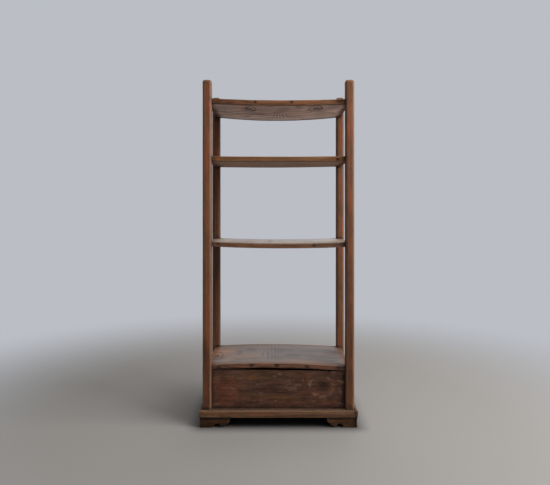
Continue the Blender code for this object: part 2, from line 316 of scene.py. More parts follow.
def new_object(name, data=None):
    """An object at the origin."""
    obj = bpy.data.objects.new(name, data or bpy.data.meshes.new(name))
    bpy.context.scene.collection.objects.link(obj)
    return obj


def srgb(red, green, blue):
    """A colour as a picture editor gives it, 0 to 255, turned into what a shader takes."""
    shares = [value / 255 for value in (red, green, blue)]
    linear = [s / 12.92 if s <= 0.04045 else ((s + 0.055) / 1.055) ** 2.4 for s in shares]
    return (*linear, 1.0)


print("kinds of sockets:", ", ".join(KINDS))

# %% [markdown]
# Floor, background and light
#
# The studio is plain: a pale floor that fades into a pale background, so that no horizon cuts
# through the shelf. The fade goes by the distance from the shelf, and only the camera sees it, so
# the floor still takes the shadow. Under the base and close round it the floor is painted darker,
# because the real one lies in a deep soft shadow there. One large lamp stands to the right and a
# little in front, because in the photograph the faces that look right are the brightest. Two weaker
# lamps and a world light that comes mostly from above fill the rest.

# %% Background
BACKGROUND = srgb(187, 190, 197)
WORLD_LOW = 0.02
WORLD_HIGH = 0.80
WORLD_BRIGHTEST = Vector((0.50, -0.20, 0.84)).normalized()
WORLD_COLOUR = (1.0, 0.985, 0.96, 1.0)


def sees_background(tree):
    """1 for the camera and for what shows in gloss or through glass, and 0 for light."""
    path = add(tree, "ShaderNodeLightPath")
    seen = calc("MAXIMUM", path["Is Camera Ray"], path["Is Glossy Ray"])
    return calc("MAXIMUM", seen, path["Is Transmission Ray"])


def make_world():
    world = bpy.data.worlds.new("studio")
    world.use_nodes = True
    tree = world.node_tree
    tree.nodes.clear()
    way = add(tree, "ShaderNodeTexCoord")["Generated"]
    strength = add(tree, "ShaderNodeMapRange", {"Value": calc("DOT_PRODUCT", way, WORLD_BRIGHTEST),
                                                "To Min": WORLD_LOW, "To Max": WORLD_HIGH})[0]
    light = add(tree, "ShaderNodeBackground", {"Color": WORLD_COLOUR, "Strength": strength})[0]
    seen = add(tree, "ShaderNodeBackground", {"Color": BACKGROUND, "Strength": 1.0})[0]
    mixed = add(tree, "ShaderNodeMixShader", {0: sees_background(tree), 1: light, 2: seen})[0]
    add(tree, "ShaderNodeOutputWorld", {"Surface": mixed})
    bpy.context.scene.world = world


make_world()
print("world light from", WORLD_LOW, "to", WORLD_HIGH)

# %% Floor
FLOOR_COLOUR = srgb(137, 134, 131)
FLOOR_FLECK = srgb(150, 148, 147)
FLECK_SCALE = 3.0
FLECK_SHARE = 0.1
FLOOR_ROUGHNESS = 0.85
FLOOR_SPECULAR = 0.2
FLOOR_HALF = 6.0
CONTACT_HALF = (0.270, 0.1635, 0.0)
CONTACT_RISE = (-0.035, 0.065)
CONTACT_LEFT = 0.05
FADE = (0.75, 2.1)


def contact_shade(place):
    """The share of light that the floor keeps: little under the base, all a hand's width from it."""
    off = calc("ABSOLUTE", place) - CONTACT_HALF
    x, y, _ = parts_of(off)
    inside = calc("MINIMUM", calc("MAXIMUM", x, y), 0.0)
    outside = calc("LENGTH", calc("MAXIMUM", off, (0.0, 0.0, 0.0)))
    return rise(inside + outside, *CONTACT_RISE) * (1 - CONTACT_LEFT) + CONTACT_LEFT


def make_floor():
    bm = bmesh.new()
    bmesh.ops.create_grid(bm, x_segments=1, y_segments=1, size=FLOOR_HALF)
    floor = new_object("floor")
    bm.to_mesh(floor.data)
    bm.free()
    material, tree, shader = new_material("studio_floor")
    place = add(tree, "ShaderNodeTexCoord")["Object"]
    flecks = noise(place, FLECK_SCALE, detail=3.0)
    colour = blend(flecks * FLECK_SHARE, FLOOR_COLOUR, FLOOR_FLECK)
    fill(shader, Base_Color=colour * contact_shade(place), Roughness=FLOOR_ROUGHNESS,
         Specular_IOR_Level=FLOOR_SPECULAR)
    far = add(tree, "ShaderNodeEmission", {"Color": BACKGROUND, "Strength": 1.0})[0]
    share = rise(calc("LENGTH", place), *FADE) * sees_background(tree)
    paint = Outputs(tree.nodes["Principled BSDF"])[0]
    mixed = add(tree, "ShaderNodeMixShader", {0: share, 1: paint, 2: far})[0]
    feed(tree.nodes["Material Output"].inputs["Surface"], mixed)
    floor.data.materials.append(material)


make_floor()
print("floor", FLOOR_HALF * 2, "m across")

# %% Lamps
AIM = Vector((0, 0, 0.6))
LAMPS = {
    # name: way from the shelf, distance, size across, watts
    "window": (Vector((0.80, -0.38, 0.52)), 3.2, 2.2, 140.0),
    "front_fill": (Vector((0.10, -0.70, 0.70)), 3.4, 2.4, 14.0),
    "far_fill": (Vector((0.15, 0.85, 0.50)), 3.6, 2.6, 34.0),
}


def make_lamps():
    for name, (way, distance, size, watts) in LAMPS.items():
        light = bpy.data.lights.new(name, "AREA")
        light.shape = "SQUARE"
        light.size = size
        light.energy = watts
        lamp = new_object(name, light)
        lamp.location = AIM + way.normalized() * distance
        lamp.rotation_euler = (AIM - lamp.location).to_track_quat("-Z", "Y").to_euler()


make_lamps()
print("lamps:", ", ".join(LAMPS))

# %% [markdown]
# Wood figure
#
# A board shows its tree: growth rings cut lengthways give long bands and arches, and cut across
# they give the curves of the end grain. So the figure is not painted on. Every piece carries a
# "grain" attribute, its place in an imagined log whose heart runs along X, and the rings are the
# distance from that heart, wandering slowly. Thin fibres and short pores are noise drawn out along
# the same axis.

# %% Group: wood figure
ACROSS = (0.0, 1.0, 1.0)
ALONG_FIBRE = (5.0, 330.0, 330.0)
ALONG_HAIR = (22.0, 1500.0, 1500.0)
ALONG_PORE = (70.0, 1300.0, 1300.0)
ALONG_WANDER = (0.32, 1.0, 1.0)
ALONG_STRENGTH = (1.2, 14.0, 14.0)
ALONG_RIPPLE = (11.0, 34.0, 34.0)
RIPPLE_SHARE = 0.3
HAIR_SHARE = 0.3
RING_DARKENS = (0.30, 0.86)
RING_ENDS = (0.88, 1.0)
RING_STRENGTH = (0.25, 0.7)
WEAKEST_RING = 0.35
PORE_RIMS = (0.62, 0.72)
RING_RELIEF = 0.5
FIBRE_RELIEF = 0.6
PORE_RELIEF = 0.4


def make_figure_group():
    _, given, wanted = new_group(
        "wood figure", "ShaderNodeTree",
        {"Vector": "vector", "Ring Width": 0.005, "Wander": 0.01, "Wander Scale": 6.0},
        {"Rings": "value", "Fibre": "value", "Pores": "value", "Height": "value"})
    place = given["Vector"]
    slow = swing(place * ALONG_WANDER, given["Wander Scale"], detail=3.0, roughness=0.55)
    wander = (slow + swing(place, ALONG_RIPPLE) * RIPPLE_SHARE) * given["Wander"]
    ring = calc("FRACT", (calc("LENGTH", place * ACROSS) + wander) / given["Ring Width"])
    strength = rise(noise(place, ALONG_STRENGTH), *RING_STRENGTH) * (1 - WEAKEST_RING) + WEAKEST_RING
    late = rise(ring, *RING_DARKENS) * fall(ring, *RING_ENDS) * strength
    hairs = noise(place, ALONG_HAIR, detail=1.0)
    fibre = noise(place, ALONG_FIBRE, roughness=0.6) * (1 - HAIR_SHARE) + hairs * HAIR_SHARE
    pores = rise(noise(place, ALONG_PORE, detail=1.0), *PORE_RIMS)
    fill(wanted, Rings=late, Fibre=fibre, Pores=pores,
         Height=late * RING_RELIEF + fibre * FIBRE_RELIEF - pores * PORE_RELIEF)


make_figure_group()
print("group made: wood figure")

# %% [markdown]
# Knots, nail stains and rings
#
# Some marks sit at one place: the burled eyes under the top shelf, the rust round a nail, the pale
# rings on the front panel. Each is a distance from a centre, measured with its own stretch. A knot
# also bends the rings that pass it, so its group gives a shift that is added to the grain before the
# figure reads it. A patch is a spot with a wide soft rim, for a place where the stain has kept more
# red or has rubbed paler, and also for painted shade and painted highlights where the wood lies in
# shadow or catches the light.

# %% Groups: knot, spot, patch, ring mark
RAGGED_SCALE = 45.0
RAGGED_SWING = 0.56
RAGGED_LEAST = 0.72
BEND_POWER = 1.5
KNOT_CORE = (0.08, 0.34)
KNOT_TURNS = 2.6
TURN_DARKENS = (0.35, 0.75)
TURN_ENDS = (0.8, 1.0)
KNOT_RIM = (0.6, 1.05)
SPOT_RIM = (0.35, 1.0)
PATCH_RIM = (0.45, 1.15)
LINE_RIM = (0.0, 0.8)
BREAK_SCALE = 42.0
BREAK_RIMS = (0.44, 0.66)
ROUND_MARK = {"Vector": "vector", "Centre": "vector", "Half Size": (0.01, 0.01, 0.01)}


def from_centre(given):
    """The distance from the centre of a mark, 1 at its rim."""
    return calc("LENGTH", (given["Vector"] - given["Centre"]) / given["Half Size"])


def ragged(given):
    """The same distance, a little uneven."""
    return from_centre(given) * (noise(given["Vector"], RAGGED_SCALE) * RAGGED_SWING + RAGGED_LEAST)


def make_mark_groups():
    _, given, wanted = new_group("knot", "ShaderNodeTree", {**ROUND_MARK, "Bend": 0.02},
                                 {"Shift": "vector", "Core": "value", "Lines": "value"})
    away = ragged(given)
    shift = calc("POWER", fall(away, 0.0, 1.0), BEND_POWER) * given["Bend"]
    turn = calc("FRACT", away * KNOT_TURNS)
    lines = rise(turn, *TURN_DARKENS) * fall(turn, *TURN_ENDS) * fall(away, *KNOT_RIM)
    fill(wanted, Shift=joined(0.0, 0.0, shift), Core=fall(away, *KNOT_CORE), Lines=lines)

    _, given, wanted = new_group("spot", "ShaderNodeTree", ROUND_MARK, {"Mask": "value"})
    fill(wanted, Mask=fall(ragged(given), *SPOT_RIM))

    _, given, wanted = new_group("patch", "ShaderNodeTree", ROUND_MARK, {"Mask": "value"})
    fill(wanted, Mask=fall(from_centre(given), *PATCH_RIM))

    _, given, wanted = new_group("ring mark", "ShaderNodeTree", {**ROUND_MARK, "Line": 0.16},
                                 {"Mask": "value"})
    line = 1.0 - calc("ABSOLUTE", ragged(given) - 1.0) / given["Line"]
    broken = rise(noise(given["Vector"], BREAK_SCALE, detail=3.0), *BREAK_RIMS)
    fill(wanted, Mask=rise(line, *LINE_RIM) * broken)


make_mark_groups()
print("groups made: knot, spot, patch, ring mark")

# %% [markdown]
# Cracks and blotches
#
# Old boards check along the grain as they dry: a few fine dark lines, long and nearly straight.
# Cells stretched far along the grain give such lines where they meet, and slow noise lets only a
# few of them open. The stain has also worn unevenly, so broad blotches push the colour towards red
# or towards a paler brown. On the rough faces of the boards, patches of the saw's own marks are
# left, straight across the grain.

# %% Groups: cracks, blotches, saw marks
ALONG_CRACK = (1.6, 34.0, 34.0)
CRACK_BEND_SCALE = 9.0
CRACK_BEND_Y = 0.5
CRACK_BEND_Z = 0.3
CRACK_WIDTH = (0.006, 0.024)
ALONG_OPENING = (2.5, 16.0, 16.0)
MOSTLY_CLOSED = 0.78
OPENED_BY_AMOUNT = 0.36
OPENING_RIM = (0.0, 0.08)
ALONG_BLOTCH = (0.45, 1.0, 1.0)
SMALL_BLOTCHES = 5.0
BROAD_RIM = (0.32, 0.68)
SMALL_RIM = (0.42, 0.66)
SAW_PITCH = 0.012
SAW_BEND = 3.0
ALONG_SAW_BEND = (14.0, 5.0, 5.0)
ALONG_SAW_DEPTH = (30.0, 16.0, 16.0)
KERF_RIM = (-0.4, 0.9)
SAW_DEPTH_RIM = (0.25, 0.6)


def make_crack_and_blotch_groups():
    tree, given, wanted = new_group("cracks", "ShaderNodeTree", {"Vector": "vector", "Amount": 0.5},
                                    {"Mask": "value"})
    place = given["Vector"]
    sway = noise(place, CRACK_BEND_SCALE)
    bent = place * ALONG_CRACK + joined(0.0, sway * CRACK_BEND_Y, sway * CRACK_BEND_Z)
    cell = add(tree, "ShaderNodeTexVoronoi", {"Vector": bent, "Scale": 1.0}, feature="DISTANCE_TO_EDGE")
    closed = MOSTLY_CLOSED - given["Amount"] * OPENED_BY_AMOUNT
    opened = rise(noise(place, ALONG_OPENING, detail=1.0) - closed, *OPENING_RIM)
    fill(wanted, Mask=fall(cell["Distance"], *CRACK_WIDTH) * opened)

    _, given, wanted = new_group("blotches", "ShaderNodeTree", {"Vector": "vector", "Scale": 9.0},
                                 {"Broad": "value", "Small": "value"})
    place = given["Vector"] * ALONG_BLOTCH
    small = noise(place, given["Scale"] * SMALL_BLOTCHES, detail=3.0, roughness=0.6)
    fill(wanted, Broad=rise(noise(place, given["Scale"]), *BROAD_RIM), Small=rise(small, *SMALL_RIM))


def make_saw_group():
    _, given, wanted = new_group("saw marks", "ShaderNodeTree", {"Vector": "vector", "Pitch": SAW_PITCH},
                                 {"Mask": "value"})
    place = given["Vector"]
    run = parts_of(place)[0] / given["Pitch"] + noise(place, ALONG_SAW_BEND, detail=1.0) * SAW_BEND
    kerf = calc("SINE", run * (2 * math.pi))
    fill(wanted, Mask=rise(kerf, *KERF_RIM) * rise(noise(place, ALONG_SAW_DEPTH), *SAW_DEPTH_RIM))


make_crack_and_blotch_groups()
make_saw_group()
print("groups made: cracks, blotches, saw marks")

# %% [markdown]
# Ageing
#
# Hands and brooms rub the stain off the edges, and dirt stays where nobody wipes, in the corners
# where pieces meet. The same darkening near the neighbours is also painted shade, for the shade
# that falls where pieces meet. Both follow the shape and not the grain, so the pieces carry them as
# attributes, "wear" and "grime", measured from their own edges and from their neighbours.
# The group breaks both up with noise and gives the colour and the roughness.

# %% Group: ageing
ALONG_RUB = (14.0, 60.0, 60.0)
RUB_RIM = (0.45, 1.0)
DIRT_SCALE = 150.0
DIRT_AND_SHADE_UNEVEN = 0.5
DIRT_AND_SHADE_RIM = (0.3, 1.0)
RUBBED_SMOOTHER = 0.14
DIRTY_ROUGHER = 0.16
ROUGHNESS_UNEVEN = 0.2


def make_ageing_group():
    tree, given, wanted = new_group(
        "ageing", "ShaderNodeTree",
        {"Vector": "vector", "Colour": "colour", "Worn Colour": "colour", "Grime Colour": "colour",
         "Wear": 0.5, "Grime": 0.6, "Dry": 0.66},
        {"Colour": "colour", "Roughness": "value"})
    place = given["Vector"]
    uneven = swing(place, DIRT_SCALE, detail=3.0, roughness=0.6)
    rubbed = read(tree, "wear") + swing(place, ALONG_RUB, detail=3.0, roughness=0.6)
    rubbed = rise(rubbed, *RUB_RIM) * given["Wear"]
    # Near neighbouring pieces the colour darkens: dirt, and painted shade where they meet.
    dirt_and_shade_mask = rise(read(tree, "grime") + uneven * DIRT_AND_SHADE_UNEVEN, *DIRT_AND_SHADE_RIM) * given["Grime"]
    colour = blend(rubbed, given["Colour"], given["Worn Colour"])
    roughness = given["Dry"] - rubbed * RUBBED_SMOOTHER + dirt_and_shade_mask * DIRTY_ROUGHER
    fill(wanted, Colour=blend(dirt_and_shade_mask, colour, given["Grime Colour"]),
         Roughness=roughness + uneven * ROUGHNESS_UNEVEN)


make_ageing_group()
print("group made: ageing")

# %% [markdown]
# One recipe for every wood
#
# All the pieces are the same kind of wood, aged in different ways: the posts keep a red-brown
# stain, the shelf boards have gone grey on their faces and stay brown on their edges, the panel is
# dark and scuffed, the feet darker still. So there is one recipe, which builds a material from
# named colours and amounts, and each piece calls it with its own.

# %% Knots, marks and patches on a wood
KNOT_BEND = 0.030
PATCH_STRETCH = (0.6, 1.5, 1.5)
PATCH_SCALE = 22.0
PATCH_PUSH = (0.05, 0.013, 0.013)
TINTS = {
    # what each kind of patch does to the red, green and blue of the wood; dim, dark and shade also
    # serve as painted shade, and light also as a painted highlight
    "red": (1.28, 1.00, 0.90, 1.0),
    "orange": (1.28, 1.12, 0.94, 1.0),
    "warm": (1.14, 1.05, 0.96, 1.0),
    "pale": (1.18, 1.20, 1.20, 1.0),
    "ash": (1.22, 1.32, 1.40, 1.0),
    "chalk": (1.45, 1.68, 1.82, 1.0),
    "olive": (1.00, 1.05, 0.86, 1.0),
    "umber": (0.98, 0.93, 0.76, 1.0),
    "grey": (0.86, 0.93, 1.00, 1.0),
    "light": (1.10, 1.09, 1.08, 1.0),
    "shade": (0.88, 0.87, 0.88, 1.0),
    "dim": (0.76, 0.74, 0.76, 1.0),
    "dark": (0.50, 0.44, 0.42, 1.0),
}


def add_knots(place, knots):
    """Bend the grain round each knot. Gives the bent grain, the dark cores and the lines round
    them."""
    core = 0.0
    lines = 0.0
    bent = place
    for centre, half_size in knots:
        made = use("knot", Vector=place, Centre=centre, Half_Size=half_size, Bend=KNOT_BEND)
        bent = bent + made["Shift"]
        core = calc("MAXIMUM", core, made["Core"])
        lines = calc("MAXIMUM", lines, made["Lines"])
    return bent, core, lines


def add_marks(place, group, marks):
    """The strongest of several marks of one group at each point."""
    mask = 0.0
    for centre, half_size in marks:
        made = use(group, Vector=place, Centre=centre, Half_Size=half_size)
        mask = calc("MAXIMUM", mask, made["Mask"])
    return mask


def add_patches(place, colour, patches):
    """Tint a colour in patches with ragged rims. The grain stays visible through them."""
    uneven = noise(place * PATCH_STRETCH, PATCH_SCALE, detail=4.0, roughness=0.62, output="Color")
    pushed = place + (uneven - (NOISE_MEAN,) * 3) * PATCH_PUSH
    for kind, centre, half_size in patches:
        mask = use("patch", Vector=pushed, Centre=centre, Half_Size=half_size)["Mask"]
        colour = blend(mask, colour, TINTS[kind], "MULTIPLY")
    return colour


print("kinds of patches:", ", ".join(TINTS))

# %% [markdown]
# Weathered faces
#
# Where a board lies level it has turned grey, and in places the saw's marks are still there. Its
# rims are handled, so they keep the brown. Two materials would meet in a hard line, so one material
# turns from brown to grey, by how level the surface lies and by how far it is from a rim.

# %% Weathered faces
WARMED = 0.6
SAWN_DARK = 0.85
RIM_STRETCH = (18.0, 60.0, 60.0)
RIM_UNEVEN = 0.9
RIM_BROWN = (0.1, 0.75)
RIM_KEPT = 0.9
RIM_DARK = (0.4, 1.0)
RIM_SHADED = 0.7


def weathered_face(place, down, streak, stain, mottle, grey, under, warm, sawn):
    """The grey of a board's level faces, with what is left of the old colour and of the saw's marks."""
    face = blend(down, blend(streak, *grey), blend(streak, *under))
    if warm:
        face = blend(stain["Broad"] * WARMED, face, blend(streak, *warm))
    deep = blend(down, grey[1], under[1])
    face = blend(stain["Small"] * mottle, face, deep)
    for centre, half_size in sawn:
        kerf = use("saw marks", Vector=place)["Mask"]
        kept = use("patch", Vector=place, Centre=centre, Half_Size=half_size)["Mask"]
        face = blend(kerf * kept * SAWN_DARK, face, deep)
    return face


def browned_rim(place, down, face, colour, dark):
    """The brown that is left along the rims of a grey face. Rims that look down are darker, as painted
    shade.
    """
    rim = read(place.tree, "rim") + swing(place, RIM_STRETCH, detail=3.0) * RIM_UNEVEN
    face = blend(rise(rim, *RIM_BROWN) * RIM_KEPT, face, colour)
    return blend(rise(rim, *RIM_DARK) * down * RIM_SHADED, face, dark)


print("brown is kept on", RIM_KEPT, "of a rim")

# %% [markdown]
# The recipe
#
# The recipe lays one thing over the next, in about the order in which they came to the real wood:
# figure and stain first, then the grey, then knots, rings, patches of stain and of painted light and
# shade, scuffs and dust, then cracks and rust, and last the wear and the dirt with its painted shade.
# What a piece doesn't have is left out of its material.

# %% The recipe
PORE_DARK = srgb(38, 25, 18)
CRACK_DARK = srgb(22, 14, 10)
RUST_DARK = srgb(32, 13, 5)
DUST = srgb(150, 138, 126)
DRY_SPECULAR = 0.28
FIBRE_LEVEL = 0.42
FIBRE_CONTRAST = 1.3
REDDENED = 0.55
FACE_TURN = (0.72, 0.97)
LINES_DARK = 0.8
CORE_DARK = 0.75
PORES_DARK = 0.45
RINGS_PALE = 0.42
ALONG_SCUFF = (22.0, 70.0, 70.0)
SCUFF_RIM = (0.56, 0.72)
DUST_TURN = (0.5, 0.95)
CRACKS_DARK = 0.85
SPOTS_DARK = 0.9
CRACK_DEPTH = 1.6
BUMP_STRENGTH = 0.8


def make_wood(name, pale, dark, red, worn, grime, grey=None, ring_width=0.006, wander=0.012,
              wander_scale=6.0, contrast=0.75, blotch_scale=9.0, cracks=0.3, wear=0.55, dirt_and_shade=0.6,
              dry=0.66, relief=0.0007, knots=(), spots=(), ring_marks=(), scuff=None, up_dust=0.0,
              sawn=(), mottle=0.22, under=None, warm=None, patches=(), gloss=DRY_SPECULAR,
              scuffed=0.35):
    """A wood from its colours, each given as 0 to 255. grey is the pale and dark colour of weathered
    level faces, under the same for faces that look down, and warm what is left of the old colour in
    patches of both."""
    pale, dark, red, worn, grime = [srgb(*colour) for colour in (pale, dark, red, worn, grime)]
    material, tree, shader = new_material(name)
    place = add(tree, "ShaderNodeAttribute", attribute_name="grain")["Vector"]
    facing = parts_of(add(tree, "ShaderNodeNewGeometry")["Normal"])[2]
    bent, core, lines = add_knots(place, knots)
    figure = use("wood figure", Vector=bent, Ring_Width=ring_width, Wander=wander,
                 Wander_Scale=wander_scale)
    streak = figure["Rings"] * contrast + (figure["Fibre"] - FIBRE_LEVEL) * FIBRE_CONTRAST
    streak = rise(streak, 0.0, 1.0)
    stain = use("blotches", Vector=place, Scale=blotch_scale)
    colour = blend(streak, pale, dark)
    colour = blend(stain["Broad"] * REDDENED, colour, blend(streak, red, dark))
    colour = blend(stain["Small"] * mottle, colour, dark)
    if grey:
        pairs = (grey, under or grey, warm)
        grey, under, warm = [pair and [srgb(*shade) for shade in pair] for pair in pairs]
        down = calc("LESS_THAN", facing, 0.0)
        face = weathered_face(place, down, streak, stain, mottle, grey, under, warm, sawn)
        face = browned_rim(place, down, face, colour, dark)
        colour = blend(rise(calc("ABSOLUTE", facing), *FACE_TURN), colour, face)
    if knots:
        colour = blend(lines * LINES_DARK, colour, dark)
        colour = blend(core * CORE_DARK, colour, PORE_DARK)
    colour = blend(figure["Pores"] * PORES_DARK, colour, PORE_DARK)
    if ring_marks:
        colour = blend(add_marks(place, "ring mark", ring_marks) * RINGS_PALE, colour, srgb(*scuff))
    colour = add_patches(place, colour, patches)
    if scuff:
        rubs = rise(noise(place, ALONG_SCUFF, detail=4.0, roughness=0.65), *SCUFF_RIM)
        colour = blend(rubs * scuffed, colour, srgb(*scuff))
    if up_dust:
        colour = blend(rise(facing, *DUST_TURN) * up_dust, colour, DUST)
    crack = use("cracks", Vector=bent, Amount=cracks)["Mask"]
    colour = blend(crack * CRACKS_DARK, colour, CRACK_DARK)
    if spots:
        colour = blend(add_marks(place, "spot", spots) * SPOTS_DARK, colour, RUST_DARK)
    aged = use("ageing", Vector=place, Colour=colour, Worn_Colour=worn, Grime_Colour=grime,
               Wear=wear, Grime=dirt_and_shade, Dry=dry)
    toned = add(tree, "ShaderNodeHueSaturation", {"Value": read(tree, "tone") + 1.0,
                                                  "Color": aged["Colour"]})["Color"]
    fill(shader, Specular_IOR_Level=gloss, Base_Color=toned, Roughness=aged["Roughness"],
         Normal=bump(figure["Height"] - crack * CRACK_DEPTH, relief, BUMP_STRENGTH))
    return material


print("recipe ready")

# %% [markdown]
# Where the boards lie
#
# Each shelf is one board that has bowed and twisted in its own way. Along its length its top is a
# curve with a height, a slope and a bow, one such curve near the front and one near the back, and
# straight lines between the two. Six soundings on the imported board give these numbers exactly, and
# one more from below gives the thickness, so nothing is copied by hand.

# %% Measure the boards
BOARDS = ("shelf_base", "shelf_middle", "shelf_upper", "shelf_top")
SOUNDING_X_SHARE = 10 / 12
SOUNDING_Y_SHARE = 0.82
SOUNDING_NUDGE = 0.0002
HOUSING_DEPTH = 0.007


def mesh_tree(node):
    """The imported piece, ready to be probed with rays."""
    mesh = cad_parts[node].data
    return BVHTree.FromPolygons([v.co for v in mesh.vertices], [p.vertices for p in mesh.polygons])


def sound(tree, x, y, way):
    """The height at which a plumb line from above, way -1, or from below, way 1, meets a piece."""
    start = Vector((x, y, -way * cad_box[1].z))
    return tree.ray_cast(start, Vector((0, 0, way)))[0].z


def measure_board(node):
    """The size of a board, where its rows of soundings lie, and the curve of its top along each."""
    low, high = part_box(node)
    tree = mesh_tree(node)
    x = high.x * SOUNDING_X_SHARE + SOUNDING_NUDGE
    y = high.y * SOUNDING_Y_SHARE
    curves = []
    for way in (-1, 1):
        left, middle, right = [sound(tree, place, way * y, -1) for place in (-x, 0, x)]
        curves.append(Vector((middle, (right - left) / (2 * x), ((left + right) / 2 - middle) / x ** 2)))
    thick = curves[0].x - sound(tree, 0, -y, 1)
    return {"size": Vector((high.x - low.x, high.y - low.y, thick)), "row": y, "front": curves[0],
            "back": curves[1]}


def board_top(board, x, y):
    """The height of a measured board's top at a place."""
    front, back = [curve.x + curve.y * x + curve.z * x * x for curve in (board["front"], board["back"])]
    share = (y + board["row"]) / (2 * board["row"])
    return front * (1 - share) + back * share


def board_middle(board, x, y):
    """The height halfway through a measured board."""
    return board_top(board, x, y) - board["size"].z / 2


boards = {node: measure_board(node) for node in BOARDS}
post_low, post_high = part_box("post_front_right")
notch = Vector((post_low.x + HOUSING_DEPTH, HOUSING_DEPTH - post_high.y, 0))
for node, board in boards.items():
    print(node, "is", [round(value * 1000, 1) for value in board["size"]], "mm")

# %% [markdown]
# A bowed plank in Geometry Nodes
#
# A plank follows a rule, so Geometry Nodes make it. A block of points is packed more closely towards
# its edges, its edges are rounded by an uneven radius, as wear leaves them, and its faces are given
# shallow waves, as a hand plane does. Its corners are notched for the posts, and only then is it
# bowed. The grain is stored before the bow, so the figure bends with the board.

# %% Helpers for Geometry Nodes
UNEVEN_RIM = (0.3, 0.75)


def measured_from(target, place, reach, element):
    """1 on the target's faces or edges and 0 at the reach and beyond."""
    near = add(target.tree, "GeometryNodeProximity", {"Geometry": target, "Sample Position": place},
               target_element=element)
    return 1.0 - calc("MINIMUM", near["Distance"] / reach, 1.0)


def store(shape, name, value, kind="FLOAT"):
    """Keep a value on the points of a shape under a name."""
    return add(shape.tree, "GeometryNodeStoreNamedAttribute",
               {"Geometry": shape, "Name": name, "Value": value}, data_type=kind, domain="POINT")[0]


def shift(shape, offset):
    """Move the points of a shape."""
    return add(shape.tree, "GeometryNodeSetPosition", {"Geometry": shape, "Offset": offset})[0]


def shape_of(thing):
    """The mesh of an object input."""
    return add(thing.tree, "GeometryNodeObjectInfo", {"Object": thing})["Geometry"]


def points_of(tree):
    """The place and the normal of each point."""
    return add(tree, "GeometryNodeInputPosition")[0], add(tree, "GeometryNodeInputNormal")[0]


def kept_value(tree, name, kind):
    """A value that was stored on the points, or came with them."""
    return add(tree, "GeometryNodeInputNamedAttribute", {"Name": name}, data_type=kind)["Attribute"]


def uneven_inward(place, normal, depth, stretched):
    """A shallow push inward that varies slowly over the surface."""
    return normal * (rise(noise(place, stretched), *UNEVEN_RIM) * depth * -1.0)


def end_tree(shape, given, wanted):
    """Make instances real and put the material on, which is how every tree here ends."""
    shape = add(shape.tree, "GeometryNodeRealizeInstances", {"Geometry": shape})[0]
    fill(wanted, Shape=add(shape.tree, "GeometryNodeSetMaterial",
                           {"Geometry": shape, "Material": given["Material"]})[0])


print("helpers for Geometry Nodes ready")

# %% Tree: bowed plank
GRADE = (0.72, 0.66, 0.0)
UNGRADED = tuple(1 - share for share in GRADE)
EDGE_STRETCH = (26.0, 26.0, 60.0)
LEAST_ROUND = 0.45
ROUND_SWING = 1.1
PLANE_STRETCH = (7.0, 22.0, 22.0)
CUTTER = 0.08


def round_block(tree, given):
    """A block from -1 to 1 graded to the board's size, with its edges rounded unevenly."""
    counts = {f"Vertices {axis}": given[f"Points {axis}"] for axis in "XYZ"}
    cube = add(tree, "GeometryNodeMeshCube", {"Size": (2.0, 2.0, 2.0), **counts})["Mesh"]
    unit = points_of(tree)[0]
    graded = unit * UNGRADED + calc("SINE", unit * (math.pi / 2)) * GRADE
    half = given["Size"] * 0.5
    flat = graded * half
    worn = rise(noise(flat + given["Seed"], EDGE_STRETCH, detail=3.0), *UNEVEN_RIM)
    radius = given["Edge Round"] * (worn * ROUND_SWING + LEAST_ROUND)
    inner = half - joined(radius, radius, radius)
    core = calc("MINIMUM", calc("MAXIMUM", flat, inner * -1.0), inner)
    out = calc("NORMALIZE", flat - core) * radius
    rounded = add(tree, "GeometryNodeSetPosition", {"Geometry": cube, "Position": core + out})[0]
    return rounded, half


def notch_corners(tree, given, shape):
    """Take the corners off where the posts pass."""
    cut = add(tree, "GeometryNodeMeshBoolean", {"Mesh 1": shape}, operation="DIFFERENCE",
              solver="MANIFOLD")
    x, y, _ = parts_of(given["Notch"])
    for way_x in (-1, 1):
        for way_y in (-1, 1):
            centre = joined((x + CUTTER / 2) * way_x, (y + CUTTER / 2) * way_y, 0.0)
            cube = add(tree, "GeometryNodeMeshCube", {"Size": (CUTTER, CUTTER, CUTTER)})["Mesh"]
            block = add(tree, "GeometryNodeTransform", {"Geometry": cube, "Translation": centre})[0]
            feed(cut.node.inputs["Mesh 2"], block)
    return cut["Mesh"]


